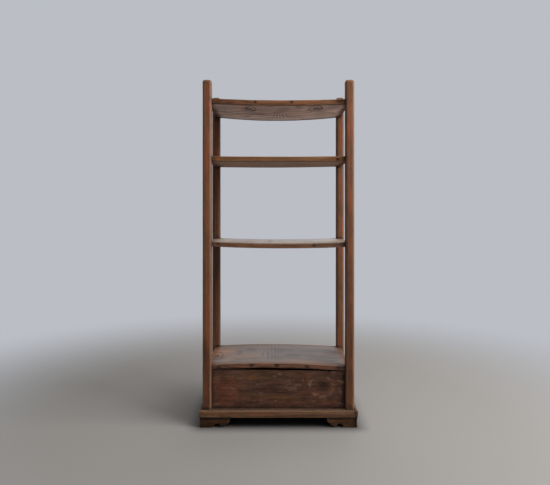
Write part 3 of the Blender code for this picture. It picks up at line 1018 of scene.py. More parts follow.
def make_plank_tree():
    tree, given, wanted = new_group(
        "bowed plank", "GeometryNodeTree",
        {"Size": "vector", "Row": "value", "Front Curve": "vector", "Back Curve": "vector",
         "Notch": "vector", "Edge Round": 0.0018, "Wave Depth": 0.0004, "Wear Reach": 0.006,
         "Rim Reach": 0.035, "Grime Reach": 0.03, "Seed": "vector", "Log Place": "vector",
         "Points X": 150, "Points Y": 90, "Points Z": 9, "Neighbours": "object",
         "Material": "material"},
        {"Shape": "shape"})
    shape, half = round_block(tree, given)
    place, normal = points_of(tree)
    waves = uneven_inward(place + given["Seed"], normal, given["Wave Depth"], PLANE_STRETCH)
    shape = notch_corners(tree, given, shift(shape, waves))
    gap = parts_of(half - calc("ABSOLUTE", place))
    low = calc("MINIMUM", gap[0], gap[1])
    high = calc("MAXIMUM", gap[0], gap[1])
    to_edge = calc("MAXIMUM", low, calc("MINIMUM", high, gap[2]))
    for name, reach in (("wear", "Wear Reach"), ("rim", "Rim Reach")):
        shape = store(shape, name, 1.0 - calc("MINIMUM", to_edge / given[reach], 1.0))
    shape = store(shape, "grain", place + given["Log Place"], "FLOAT_VECTOR")
    x, y, _ = parts_of(place)
    heights = []
    for curve in ("Front Curve", "Back Curve"):
        middle, slope, bow = parts_of(given[curve])
        heights.append(middle + (slope + bow * x) * x)
    back = (y + given["Row"]) / (given["Row"] * 2.0)
    height = heights[0] + back * (heights[1] - heights[0]) - parts_of(half)[2]
    shape = shift(shape, joined(0.0, 0.0, height))
    # Closeness to the other pieces, for their dirt and painted shade.
    near = measured_from(shape_of(given["Neighbours"]), place, given["Grime Reach"], "FACES")
    end_tree(store(shape, "grime", near), given, wanted)
    return tree


plank_tree = make_plank_tree()
print("tree made: bowed plank,", len(plank_tree.nodes), "nodes")

# %% [markdown]
# Ageing the other pieces
#
# The posts, rails, panels, mouldings and feet already have their joints in the imported model, and a
# new shape would only risk them. So each is a fine copy: its loose triangles are merged, its hard
# edges are eased with a small bevel, and it is sliced into cells of a few millimetres, which gives
# the surface points to move. A second tree then pushes the edges and faces inward by fractions of a
# millimetre, and measures "wear" from the piece's own sharp edges and "grime", dirt and
# painted shade, from its neighbours.

# %% Tree: aged piece
WELD = 0.00002
CHIP_SCALE = 55.0
CHIP_RIM = (0.42, 0.72)
LEAST_CHIP = 0.15


def make_aged_tree():
    tree, given, wanted = new_group(
        "aged piece", "GeometryNodeTree",
        {"Piece": "shape", "Edges Of": "object", "Neighbours": "object", "Sharp From": 0.6,
         "Wear Reach": 0.006, "Wear Depth": 0.0008, "Wave Depth": 0.0003,
         "Wave Stretch": (8.0, 30.0, 30.0), "Grime Reach": 0.02, "Material": "material"},
        {"Shape": "shape"})
    place, normal = points_of(tree)
    merged = add(tree, "GeometryNodeMergeByDistance",
                 {"Geometry": shape_of(given["Edges Of"]), "Distance": WELD})[0]
    angle = add(tree, "GeometryNodeInputMeshEdgeAngle")["Unsigned Angle"]
    sharp = calc("GREATER_THAN", angle, given["Sharp From"])
    edges = add(tree, "GeometryNodeSeparateGeometry", {"Geometry": merged, "Selection": sharp},
                domain="EDGE")["Selection"]
    shape = store(given["Piece"], "wear", measured_from(edges, place, given["Wear Reach"], "EDGES"))
    # Closeness to the other pieces, for their dirt and painted shade.
    near = measured_from(shape_of(given["Neighbours"]), place, given["Grime Reach"], "FACES")
    shape = store(shape, "grime", near)
    chips = rise(noise(place, CHIP_SCALE, detail=3.0, roughness=0.6), *CHIP_RIM) + LEAST_CHIP
    dent = kept_value(tree, "wear", "FLOAT") * chips * given["Wear Depth"]
    shape = shift(shape, uneven_inward(place, normal, given["Wave Depth"], given["Wave Stretch"]))
    end_tree(shift(shape, normal * (dent * -1.0)), given, wanted)
    return tree


aged_tree = make_aged_tree()
print("tree made: aged piece,", len(aged_tree.nodes), "nodes")

# %% [markdown]
# From tree to plain mesh
#
# A finished piece is a plain mesh at the origin. The helpers here hang a tree on an object, set its
# inputs by their identifiers, read the evaluated result back as a mesh and let the tree go. Another
# joins the imported pieces round one piece, for the dirt and the painted shade near them to be
# measured from.

# %% Make a piece with a tree
SMOOTH_ANGLE = math.radians(50)


def run_tree(obj, tree, inputs):
    """Replace an object's mesh by what a tree makes of it."""
    modifier = obj.modifiers.new(tree.name, "NODES")
    modifier.node_group = tree
    for item in tree.interface.items_tree:
        if item.item_type == "SOCKET" and item.in_out == "INPUT" and item.name in inputs:
            modifier[item.identifier] = inputs[item.name]
    bpy.context.view_layer.update()
    seen = obj.evaluated_get(bpy.context.evaluated_depsgraph_get())
    mesh = bpy.data.meshes.new_from_object(seen)
    obj.modifiers.remove(modifier)
    old = obj.data
    obj.data = mesh
    mesh.name = obj.name
    bpy.data.meshes.remove(old)
    mesh.shade_smooth()
    mesh.set_sharp_from_angle(angle=SMOOTH_ANGLE)
    return obj


def neighbours_of(node):
    """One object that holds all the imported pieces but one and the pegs."""
    points = []
    faces = []
    for name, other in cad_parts.items():
        if name == node or name.startswith("peg_"):
            continue
        start = len(points)
        points += [vert.co.copy() for vert in other.data.vertices]
        faces += [[start + index for index in face.vertices] for face in other.data.polygons]
    around = new_object("neighbours")
    around.data.from_pydata(points, [], faces)
    return around


def drop(obj):
    """Remove a helper object and its mesh."""
    mesh = obj.data
    bpy.data.objects.remove(obj)
    bpy.data.meshes.remove(mesh)


def set_attribute(mesh, name, kind, values):
    """Store an array of numbers on the points of a mesh."""
    made = mesh.attributes.new(name, kind, "POINT")
    made.data.foreach_set("vector" if kind == "FLOAT_VECTOR" else "value", np.ravel(values))


def finish_piece(obj, node, tone):
    """Give a piece its tone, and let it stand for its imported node."""
    mesh = obj.data
    set_attribute(mesh, "tone", "FLOAT", np.full(len(mesh.vertices), tone, np.float32))
    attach(obj, BODY)
    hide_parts(node)
    print(obj.name, "has", sum(len(face.vertices) - 2 for face in mesh.polygons), "triangles")


print("pieces can be made")

# %% [markdown]
# The four shelves
#
# The faces of the boards have gone grey and dry, and their edges, which hands touch, keep a warm
# brown. The top board shows two burled eyes underneath, the base board a broad swirl near its left
# back corner, and the front edges carry the rusted heads of old nails. The marks are placed by
# the photograph's own columns and rows, and each is carried from there into the log of its board.

# %% Nails, knots and saw marks of the shelves
FRONT_EDGE_Y = -boards["shelf_base"]["size"].y / 2
EDGE_NAILS = {
    # column and row of the nail heads on each front edge
    "shelf_base": [(218.9, 367.6), (251.6, 364.9), (276.8, 365.2), (307.0, 367.1), (338.5, 367.6)],
    "shelf_middle": [(218.0, 243.8), (313.9, 245.3)],
    "shelf_upper": [(337.9, 159.6)],
    "shelf_top": [(255.3, 102.0), (291.6, 102.0)],
}
NAIL_STAINS = {
    # half the size of the rust round a head
    "shelf_base": (0.0120, 0.012, 0.0095),
    "shelf_middle": (0.0090, 0.010, 0.0066),
    "shelf_upper": (0.0085, 0.010, 0.0080),
    "shelf_top": (0.0070, 0.010, 0.0065),
}
NAIL_RADII = {"shelf_base": 0.0026, "shelf_middle": 0.0016, "shelf_upper": 0.0022, "shelf_top": 0.0018}
KNOTS = {
    # column and row of the middle, half width and half height in pixels, on the face that shows
    "shelf_top": [(250.5, 110.0, 7.5, 3.2), (316.0, 109.6, 9.8, 3.9)],
    "shelf_base": [(217.0, 355.0, 9.0, 6.0)],
}
SAW_MARKS = {
    # the same for where the saw's marks are left
    "shelf_base": [(271.0, 352.5, 15.0, 8.0)],
    "shelf_top": [(280.0, 115.0, 9.0, 4.5)],
}
print("nails on the front edges:", sum(len(nails) for nails in EDGE_NAILS.values()))

# %% Patches on the faces of the shelves
def marks_in(kinds):
    """How many marks there are in a list by kind."""
    return sum(len(marks) for marks in kinds.values())


# Under the top board, the thin dim lines just behind the front rim are painted shade under the arris.
FACE_PATCHES = {
    # column and row of the middle, half width and half height in pixels, by what each does
    "shelf_base": {
        "orange": [(220, 352, 9, 6), (232, 349, 7, 3), (341, 356, 2, 4), (226, 350, 4, 2),
                   (219, 350, 7, 6)],
        "warm": [(246, 356, 12, 4), (300, 361, 30, 2), (226, 356, 12, 6)],
        "red": [(231, 351, 4, 2)],
        "pale": [(266, 353, 14, 6), (226, 360, 10, 2)],
        "dim": [(222, 356, 3, 3), (330, 350, 10, 4), (252, 349, 6, 2), (240, 352, 3, 3),
                (293, 356, 9, 3)],
        "grey": [(318, 353, 30, 9)],
        "shade": [(322, 355, 28, 9), (280, 353, 20, 8), (300, 349.5, 44, 2.5), (236, 360.5, 8, 3)],
    },
    "shelf_middle": {
        "dark": [(269.7, 241.3, 1.7, 1.7)],
        "dim": [(276, 242.9, 58, 0.5), (336, 242.2, 7, 0.6), (217, 242.2, 5, 0.8),
                (250, 241.5, 8, 0.5), (240, 242.1, 22, 0.5), (318, 242.3, 24, 0.5)],
        "umber": [(276, 242.7, 64, 0.7), (336, 241.6, 7, 1.2), (217, 242, 6, 1.2),
                  (219, 240.5, 7, 2.5)],
        "warm": [(224, 241, 9, 1.6), (338, 241.5, 5, 1.5)],
        "orange": [(217, 240.5, 3, 1.5)],
        "grey": [(310, 240.8, 14, 0.8)],
        "shade": [(218, 240.5, 5, 2.5)],
        "light": [(252, 240.3, 20, 2)],
    },
    "shelf_upper": {
        "warm": [(240, 164.5, 14, 1.2)],
        "dim": [(300, 165, 12, 1)],
    },
    "shelf_top": {
        "ash": [(278, 118.5, 62, 3.4)],
        "warm": [(238, 110, 8, 2.5)],
        "dim": [(300, 108, 6, 2), (246, 110, 6, 2), (318, 109.5, 6, 2), (283, 110, 7, 2),
                (334, 108.5, 8, 3), (248, 106.8, 6, 0.7), (312, 106.9, 7, 0.7)],
        "grey": [(222, 110, 8, 4)],
        "pale": [(303, 110, 4, 4), (332, 113, 8, 2.5), (276, 117, 64, 4)],
        "dark": [(247.5, 108.8, 2.2, 1), (253.5, 111.2, 2.6, 0.9), (297, 107.5, 2, 0.8),
                 (321.5, 109.8, 2.6, 1.3), (246.5, 109.4, 1.8, 1.2)],
    },
}
print("patches on the faces:", {node: marks_in(kinds) for node, kinds in FACE_PATCHES.items()})

# %% Patches on the front edges of the shelves
# At both ends of each front edge, next to the posts, the dark, dim and shade patches are painted shadow
# cast by the posts; the thin dim bands along the lower rims are painted shade under the arris.
EDGE_PATCHES = {
    # the same on the front edge
    "shelf_base": {
        "orange": [(240, 367, 8, 1), (262, 364.5, 7, 1)],
        "dim": [(225, 366, 6, 1.5), (290, 368, 10, 0.8), (339, 367.5, 6, 3), (342.5, 367.5, 4, 3)],
        "warm": [(322, 367, 8, 1.5)],
        "dark": [(343, 368, 2, 2), (344, 366.5, 2.6, 3)],
    },
    "shelf_middle": {
        "red": [(217, 244.5, 4, 2.5)],
        "dim": [(280, 243.2, 60, 0.6), (290, 246, 16, 1.2), (224, 244.5, 17, 3.5),
                (330, 244.5, 24, 3.5), (338, 244.5, 11, 3.5), (343, 244.5, 5, 3.5),
                (269, 243, 1.6, 1.4), (251, 245.8, 4.5, 1.3)],
        "orange": [(240, 244, 8, 1)],
        "warm": [(330, 244, 6, 1)],
        "umber": [(280, 244.5, 76, 3.5)],
        "shade": [(217, 244.5, 7, 3.5)],
    },
    "shelf_upper": {
        "orange": [(217, 159, 4, 2)],
        "warm": [(250, 159, 14, 1)],
        "dim": [(285, 162.5, 40, 0.8)],
        "light": [(318, 158.5, 18, 1.4)],
        "dark": [(341, 162, 5, 3)],
        "ash": [(308, 158.6, 20, 1.8)],
    },
    "shelf_top": {
        "dark": [(217, 101, 5, 3.5), (341, 101, 3, 2.5)],
        "orange": [(275, 101, 12, 1.2)],
        "warm": [(310, 101, 10, 1.2)],
        "dim": [(240, 103, 14, 0.8), (228, 101.5, 11, 3.5), (227, 101.5, 7, 3.5),
                (339, 101.5, 8, 3.5), (341, 101.5, 5, 3.5)],
        "light": [(300, 102, 18, 2.5)],
    },
}
print("patches on the edges:", {node: marks_in(kinds) for node, kinds in EDGE_PATCHES.items()})

# %% [markdown]
# From the photograph to the log
#
# A mark is found in the photograph by column and row, but a material needs its place in the log. The
# camera is known, so the line through a mark meets the plane of the board at one place. The bow is
# then taken off, as if the board were pressed flat, and the board's place in the log is added.

# %% From the photograph to the log
LOG_PLACES = {
    # where in its log each board was cut, along the log and away from its heart
    "shelf_base": Vector((0.30, 0.035, 0.110)),
    "shelf_middle": Vector((1.70, -0.020, 0.120)),
    "shelf_upper": Vector((2.90, 0.030, 0.100)),
    "shelf_top": Vector((4.10, -0.015, 0.120)),
}
MARK_DEPTH = 0.025
NAIL_ROOM = 0.0045


def edge_nail_place(node, column, row):
    """The place on a board's front edge that the photograph shows, kept clear of the edge's rims."""
    place = on_upright(FRONT_EDGE_Y)(column, row)
    middle = board_middle(boards[node], place.x, FRONT_EDGE_Y)
    place.z = min(max(place.z, middle - NAIL_ROOM), middle + NAIL_ROOM)
    return place


def into_board(node):
    """What turns a place on the bowed board into a place in its log."""
    def carry(place):
        return place - Vector((0, 0, board_middle(boards[node], place.x, place.y))) + LOG_PLACES[node]
    return carry


def into_log(axes, log):
    """What turns a place on a straight piece into a place in its log."""
    return lambda place: Vector([place[axis] for axis in axes]) + Vector(log)


def seen_marks(marks, see, carry):
    """The middle and half size, in the log, of marks seen in the photograph on one plane. Across
    the plane, where a mark has no size of its own, it gets a depth that reaches through the bow."""
    found = []
    for column, row, half_columns, half_rows in marks:
        middle = carry(see(column, row))
        beside = carry(see(column + half_columns, row)) - middle
        above = (carry(see(column, row + half_rows)) - carry(see(column, row - half_rows))) / 2
        half = [max(abs(a), abs(b)) for a, b in zip(beside, above)]
        half[half.index(min(half))] = MARK_DEPTH
        found.append((middle, Vector(half)))
    return found


def seen_patches(kinds, see, carry):
    """The same for patches that are listed by kind."""
    return [(kind, *mark) for kind, marks in kinds.items() for mark in seen_marks(marks, see, carry)]


left_nail, right_nail = [edge_nail_place("shelf_top", *seen) for seen in EDGE_NAILS["shelf_top"]]
print("the top board's nails are", round((right_nail - left_nail).x * 1000), "mm apart")

# %% Woods of the shelves
SHELF_LOOKS = {
    "shelf_base": dict(pale=(114, 77, 55), dark=(60, 38, 27), red=(108, 66, 43),
                       grey=((110, 99, 94), (76, 65, 60)), warm=((119, 96, 82), (80, 60, 49)),
                       wander=0.040, wander_scale=5.0, contrast=0.6, ring_width=0.008, wear=0.35),
    "shelf_middle": dict(pale=(114, 82, 60), dark=(62, 42, 30), red=(106, 68, 46),
                         grey=((160, 150, 144), (104, 93, 86)), warm=((154, 136, 124), (98, 81, 70)),
                         wander=0.020, contrast=0.6, wear=0.15),
    "shelf_upper": dict(pale=(123, 88, 60), dark=(65, 43, 29), red=(115, 76, 50),
                        grey=((136, 116, 102), (84, 68, 56)), under=((174, 135, 108), (102, 76, 57)),
                        wander=0.020, contrast=0.6, gloss=0.06, wear=0.45),
    "shelf_top": dict(pale=(128, 86, 58), dark=(68, 44, 29), red=(120, 75, 48),
                      grey=((146, 130, 120), (92, 78, 69)), under=((241, 211, 198), (139, 112, 100)),
                      wander=0.050, wander_scale=7.0, contrast=0.9, ring_width=0.009, gloss=0.12,
                      wear=0.4),
}


def make_shelf_wood(node):
    board = boards[node]
    carry = into_board(node)
    face_z = board_top(board, 0, 0)
    if face_z > CAMERA_PLACE.z:
        face_z -= board["size"].z
    face = on_level(face_z)
    patches = seen_patches(FACE_PATCHES[node], face, carry)
    patches += seen_patches(EDGE_PATCHES[node], on_upright(FRONT_EDGE_Y), carry)
    spots = [(carry(edge_nail_place(node, *seen)), NAIL_STAINS[node]) for seen in EDGE_NAILS[node]]
    return make_wood(f"{node}_wood", worn=(150, 116, 90), grime=(40, 28, 22), spots=spots,
                     knots=seen_marks(KNOTS.get(node, ()), face, carry),
                     sawn=seen_marks(SAW_MARKS.get(node, ()), face, carry),
                     cracks=0.45, dry=0.62, patches=patches, **SHELF_LOOKS[node])


shelf_woods = {node: make_shelf_wood(node) for node in BOARDS}
print("woods made:", ", ".join(wood.name for wood in shelf_woods.values()))

# %% Make the shelves
SEEDS = {"shelf_base": (3.1, 0.4, 7.7), "shelf_middle": (11.3, 5.2, 1.9), "shelf_upper": (6.6, 9.1, 4.4),
         "shelf_top": (14.2, 2.8, 8.3)}
TONES = {"shelf_base": -0.04, "shelf_middle": 0.0, "shelf_upper": 0.0, "shelf_top": 0.0}
RIM_REACHES = {"shelf_base": 0.035, "shelf_middle": 0.045, "shelf_upper": 0.045, "shelf_top": 0.035}

for node, board in boards.items():
    around = neighbours_of(node)
    piece = run_tree(new_object(f"{node}_board"), plank_tree, {
        "Size": board["size"], "Row": board["row"], "Front Curve": board["front"],
        "Back Curve": board["back"], "Notch": notch, "Seed": SEEDS[node],
        "Log Place": LOG_PLACES[node], "Rim Reach": RIM_REACHES[node], "Neighbours": around,
        "Material": shelf_woods[node]})
    drop(around)
    finish_piece(piece, node, TONES[node])

# %% [markdown]
# Posts, base and feet
#
# These are the fine copies. Their grain runs the way that each piece is longest, and each piece gets
# its own place in the log, so no two show the same figure. The pieces that face the camera also get
# the marks that the photograph shows on them: the rubs of the posts and the painted shade down their
# darker edges, the scuffs and the two pale rings of the front panel with painted shadow where the
# base board and the right post shade it, the paler patches of the moulding and of its brackets with
# a painted highlight along the moulding's top and painted shadow under it.

# %% Places in the log
ALONG_X = (0, 1, 2)
ALONG_Y = (1, 0, 2)
ALONG_Z = (2, 0, 1)
PANEL_AXES = (0, 2, 1)
SIDE_PANEL_AXES = (1, 2, 0)
LOGS = {
    # where in its log each piece was cut
    "base_panel_front": (6.0, 0.0, 0.055),
    "base_panel_back": (17.0, 0.01, 0.06),
    "base_panel_left": (19.0, 0.0, -0.20),
    "base_panel_right": (21.0, 0.0, 0.21),
    "base_floor": (23.0, 0.02, 0.05),
    "post_front_left": (8.0, 0.0, 0.05),
    "post_front_right": (10.3, 0.03, 0.03),
    "post_back_left": (12.6, 0.06, 0.01),
    "post_back_right": (14.9, 0.09, -0.01),
}
CORNERS = ("front_left", "front_right", "back_left", "back_right")
RAIL_LOGS = {"front": 25.0, "back": 27.0, "left": 33.0, "right": 35.0}
PLINTH_LOGS = {"front": 29.0, "back": 31.0, "left": 37.0, "right": 39.0}
BRACKET_LOG = 41.0
SIDE_BRACKET_LOG = 49.0
BRACKET_STEP = 2.0
for side in RAIL_LOGS:
    LOGS[f"base_rail_{side}"] = (RAIL_LOGS[side], 0.05, 0.02)
    LOGS[f"plinth_{side}"] = (PLINTH_LOGS[side], 0.1, 0.0)
for index, corner in enumerate(CORNERS):
    LOGS[f"bracket_{corner}"] = (BRACKET_LOG + index * BRACKET_STEP, 0.1, 0.0)
    LOGS[f"bracket_side_{corner}"] = (SIDE_BRACKET_LOG + index * BRACKET_STEP, 0.1, 0.0)


def front_of(node, axes):
    """How to see a place on the front of a piece, and how to carry it into the log."""
    return on_upright(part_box(node)[0].y), into_log(axes, LOGS[node])


print("pieces with a place in a log:", len(LOGS))

# %% Rings and patches on the front panel
PANEL_RINGS = [
    # column and row of the middle of each pale ring on the front panel, half its width and height
    (296.5, 380.0, 8.0, 6.4),
    (321.5, 386.5, 11.6, 10.4),
]
RING_DEPTH = 0.2
# The dark band along the top is painted shadow under the front edge of the base board, and the dark and
# dim patches against the right end are painted shadow of the right front post.
PANEL_PATCHES = {
    # column and row of the middle, half width and half height in pixels
    "red": [(226, 391, 17, 18)],
    "warm": [(232, 381, 9, 4), (284, 402, 18, 2), (330, 402, 11, 4), (312, 393, 10, 2.5),
             (296, 391, 6, 1.5)],
    "orange": [(250, 378, 9, 2.5), (309, 378, 4, 4), (286, 398.5, 18, 1.8), (334, 386, 2, 6.5)],
    "dim": [(268, 389, 14, 4), (299, 381, 6, 4), (251, 402, 9, 2), (275, 376, 12, 2),
            (240, 396, 3, 12), (310, 403, 12, 2.5), (222, 386, 7, 1.4), (224, 396, 9, 1.2),
            (219, 402, 7, 1.4), (262, 381, 12, 1.4), (262, 392.6, 24, 1.4), (300, 389, 5, 3),
            (339, 375, 7, 8), (342, 402, 6, 9), (342, 407, 5, 4), (330, 373, 8, 5), (289, 378.5, 5, 3)],
    "dark": [(322, 386, 8, 6), (344, 390, 2.2, 20), (280, 368.8, 80, 3.2), (282, 393.2, 9, 0.9)],
    "chalk": [(286.5, 386.5, 2.6, 3.4), (291, 387.5, 3, 1.6), (303, 380, 1.4, 4), (298, 385, 4, 1.4),
              (310, 385.5, 1.6, 6.5), (316, 394.5, 5, 1.5), (325, 398, 2.2, 2.6)],
    "pale": [(231, 404, 5, 3), (258, 396, 8, 1.6), (236, 374, 7, 0.8), (268, 384.5, 7, 0.8),
             (240, 388, 8, 20), (328, 385.5, 4, 3), (332.5, 385.5, 2.2, 3.2), (239.9, 392, 0.8, 12)],
    "light": [(226, 390, 20, 17), (276, 381, 16, 3), (300, 397, 30, 1.6), (320, 403.5, 18, 1.6),
              (218, 388, 7, 22), (218, 386, 6, 12), (254, 378, 14, 6), (254, 397, 14, 5),
              (309, 383, 5, 9), (319, 389, 5, 6), (332, 388, 2.2, 5), (226, 376.5, 12, 0.6),
              (227, 379.8, 12, 0.5), (224, 393.5, 12, 0.6)],
    "olive": [(276, 397.5, 30, 2.6), (262, 377, 24, 6), (300, 373, 22, 3)],
    "shade": [(225, 400, 14, 2)],
}
panel_front = front_of("base_panel_front", PANEL_AXES)
panel_rings = [(middle, (half.x, half.y, RING_DEPTH))
               for middle, half in seen_marks(PANEL_RINGS, *panel_front)]
print("on the front panel:", len(panel_rings), "rings and", marks_in(PANEL_PATCHES), "patches")

# %% Patches on the posts
# Down the edges that face away from the lamp, the dark and dim patches are painted shade, and the dark
# ones at the feet of the posts are painted shadow where they meet the moulding. Other dim patches darken
# the posts towards the bottom.
POST_PATCHES = {
    # the same on the front of each post
    "front_left": {
        "red": [(209.5, 107, 2.5, 9), (207, 160, 1, 45), (205, 215, 1.5, 16)],
        "dim": [(204.5, 250, 1.6, 120), (211.4, 250, 1.5, 140), (208.8, 392, 1.4, 22),
                (206.5, 402, 5, 9), (209.7, 275, 1.3, 100), (206, 375, 4.6, 42),
                (206.5, 362, 4.5, 22), (209.8, 382, 1.5, 40)],
        "orange": [(210, 300, 1.5, 50), (208.2, 104, 1.4, 4)],
        "shade": [(207, 82.5, 5, 1.8), (210, 290, 2.4, 70), (206, 385, 3, 26), (205, 275, 1.2, 30),
                  (211.3, 245, 1.4, 110)],
        "olive": [(206.5, 91, 3, 10), (208.5, 298, 2, 12)],
        "dark": [(204, 352, 2, 16), (203, 230, 1.3, 150), (206, 408, 5, 2)],
        "warm": [(209, 240, 2, 18)],
        "light": [(206, 120, 1.2, 14)],
        "umber": [(207, 375, 8, 45)],
    },
    "front_right": {
        "red": [(350.5, 132, 3.5, 18), (350, 196, 1.2, 22)],
        "dark": [(346.2, 240, 1.9, 170), (346.5, 115, 1.2, 24), (349, 407, 5, 3)],
        "warm": [(351, 252, 2, 26), (350.5, 205, 3, 20)],
        "shade": [(349, 82.5, 5, 1.6), (350, 300, 6, 60), (349, 240, 2, 60), (350, 90, 6, 9),
                  (349, 350, 8, 60)],
        "dim": [(350, 168, 4, 2), (351, 350, 2, 20), (345.6, 240, 2.2, 170), (348.4, 290, 0.8, 40),
                (350, 388, 5, 26), (353.6, 395, 1.3, 18), (349, 338, 7, 52), (349, 392, 6, 22)],
        "orange": [(352, 310, 1.2, 30), (351.2, 108, 1.6, 9)],
        "light": [(348.2, 270, 0.8, 30)],
        "umber": [(349, 370, 8, 60)],
    },
    "back_left": {
        "red": [(217, 156, 3, 10), (218, 300, 1.2, 30)],
        "dark": [(214, 200, 1.5, 60), (217, 118, 4, 5), (214, 300, 1.4, 40), (217, 98.5, 5, 1.5)],
        "warm": [(218, 240, 2, 12), (217, 195, 1.6, 30)],
        "dim": [(219, 300, 1.6, 40), (216.5, 261, 4, 22), (219.2, 318, 1.8, 36)],
        "umber": [(217, 230, 7, 150)],
    },
    "back_right": {
        "dark": [(336.6, 240, 1.9, 170), (341, 98.5, 5, 1.5)],
        "orange": [(341, 140, 2, 20), (342, 240, 1.2, 30)],
        "dim": [(339, 206, 2, 10), (338.5, 300, 1.5, 30)],
        "pale": [(341, 190, 2.5, 40)],
        "olive": [(340, 285, 3, 34), (340, 130, 2, 20)],
    },
}
print("patches on the posts:", {corner: marks_in(kinds) for corner, kinds in POST_PATCHES.items()})

# %% Patches on the moulding and its brackets
# On the moulding, the dark and dim lines along the top are painted shadow under the posts and the panel,
# and the pale and light bands along its rims are paler worn wood with a painted highlight. On the
# brackets, the dim bands just under the moulding are painted shadow, and the light and chalk patches are
# paler wood with a painted highlight.
FRONT_PATCHES = {
    # the same on the front moulding and the front brackets
    "plinth_front": {
        "pale": [(240, 412.6, 44, 1.1), (318, 412.8, 44, 0.9), (236, 417.2, 40, 0.8), (205, 417, 6, 1)],
        "warm": [(225, 413.5, 20, 1.5)],
        "red": [(262, 414.5, 16, 1.2), (204, 414, 3, 1)],
        "shade": [(320, 415.5, 30, 1.5)],
        "orange": [(350.5, 416.5, 2, 1.5)],
        "dark": [(207.5, 410.6, 6, 1.2), (349.5, 410.6, 6.5, 1.2), (339, 409.8, 6, 1.4)],
        "dim": [(290, 417, 30, 0.8), (296, 409.8, 60, 1.2), (310, 409.8, 44, 1.2)],
        "light": [(208, 413, 8, 1.5), (348, 413, 6, 1.2)],
        "chalk": [(213, 417, 14, 1.4)],
    },
    "bracket_front_left": {
        "olive": [(210, 422.5, 8, 2.5)],
        "light": [(208, 423, 6, 2)],
        "dim": [(208, 419.5, 9, 1), (204, 426, 4, 1.2)],
        "chalk": [(227.5, 422, 1.6, 1.4)],
        "grey": [(224, 424, 4, 1.5)],
    },
    "bracket_front_right": {
        "chalk": [(331, 421.2, 4, 1.4), (346.5, 425.5, 1.6, 1.2)],
        "pale": [(335, 424, 3.5, 1.4), (349, 423, 3, 2)],
        "red": [(348.5, 421.5, 3, 2.2)],
        "dim": [(342, 419.3, 10, 1), (336, 419.6, 7, 1.2)],
        "olive": [(338, 421, 6, 1.6)],
        "light": [(350, 422.5, 4, 3)],
    },
}
print("patches on the front:", {node: marks_in(kinds) for node, kinds in FRONT_PATCHES.items()})

# %% Woods of the posts, the base and the feet
PLINTH_LOOKS = dict(pale=(101, 70, 47), dark=(58, 39, 25), red=(103, 62, 38), worn=(123, 90, 64),
                    grime=(24, 15, 10), ring_width=0.007, wander=0.016, cracks=0.3, up_dust=0.12,
                    wear=0.5, contrast=0.5, mottle=0.35)
FOOT_LOOKS = dict(pale=(72, 46, 27), dark=(32, 20, 11), red=(70, 40, 23), worn=(100, 72, 52),
                  grime=(16, 10, 7), ring_width=0.007, wander=0.018, cracks=0.3, gloss=0.14, dirt_and_shade=0.8,
                  wear=0.5, contrast=0.5, mottle=0.4)


def make_post_wood(corner):
    patches = seen_patches(POST_PATCHES[corner], *front_of(f"post_{corner}", ALONG_Z))
    return make_wood(f"post_{corner}_brown", pale=(118, 76, 47), dark=(62, 38, 23), red=(126, 66, 37),
                     worn=(123, 92, 71), grime=(30, 18, 11), ring_width=0.0065, wander=0.016,
                     blotch_scale=7.0, cracks=0.25, dry=0.62, contrast=0.6, mottle=0.35,
                     patches=patches)


def front_patches(node):
    """The patches on the front of a moulding or a bracket."""
    return seen_patches(FRONT_PATCHES[node], *front_of(node, ALONG_X))


post_woods = {corner: make_post_wood(corner) for corner in POST_PATCHES}
panel_wood = make_wood("front_panel_brown", pale=(79, 53, 41), dark=(43, 28, 21), red=(84, 51, 37),
                       worn=(106, 74, 54), grime=(18, 11, 7), ring_width=0.012, wander=0.050,
                       cracks=0.4, contrast=0.35, mottle=0.55, gloss=0.16, ring_marks=panel_rings,
                       scuff=(128, 100, 82), scuffed=0.5,
                       patches=seen_patches(PANEL_PATCHES, *panel_front))
inner_wood = make_wood("inner_panel_brown", pale=(94, 65, 46), dark=(54, 36, 26), red=(94, 56, 38),
                       worn=(108, 78, 58), grime=(22, 14, 10), ring_width=0.011, wander=0.045,
                       cracks=0.45, contrast=0.4, mottle=0.45, scuff=(112, 90, 74))
plinth_wood = make_wood("plinth_brown", **PLINTH_LOOKS)
front_plinth_wood = make_wood("front_plinth_brown", patches=front_patches("plinth_front"),
                              **PLINTH_LOOKS)
foot_wood = make_wood("foot_dark_brown", **FOOT_LOOKS)
front_foot_woods = {node: make_wood(f"{node}_dark_brown", patches=front_patches(node), **FOOT_LOOKS)
                    for node in FRONT_PATCHES if node.startswith("bracket")}
print("woods made: posts, panels, plinth, feet")

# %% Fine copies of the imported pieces
MERGE = 0.00001
FLAT_ANGLE = math.radians(0.5)
HARD_ANGLE = math.radians(35)
BEVEL_STEPS = 2
WAVES_ALONG = 8.0
WAVES_ACROSS = 30.0


def slice_up(bm, axis, cell, low, high):
    """Cut a mesh into slabs about one cell thick along an axis."""
    count = max(1, round((high - low) / cell))
    normal = [1.0 if index == axis else 0.0 for index in range(3)]
    for index in range(1, count):
        place = [0.0, 0.0, 0.0]
        place[axis] = low + (high - low) * index / count
        geometry = bm.verts[:] + bm.edges[:] + bm.faces[:]
        bmesh.ops.bisect_plane(bm, geom=geometry, plane_co=place, plane_no=normal, dist=MERGE)


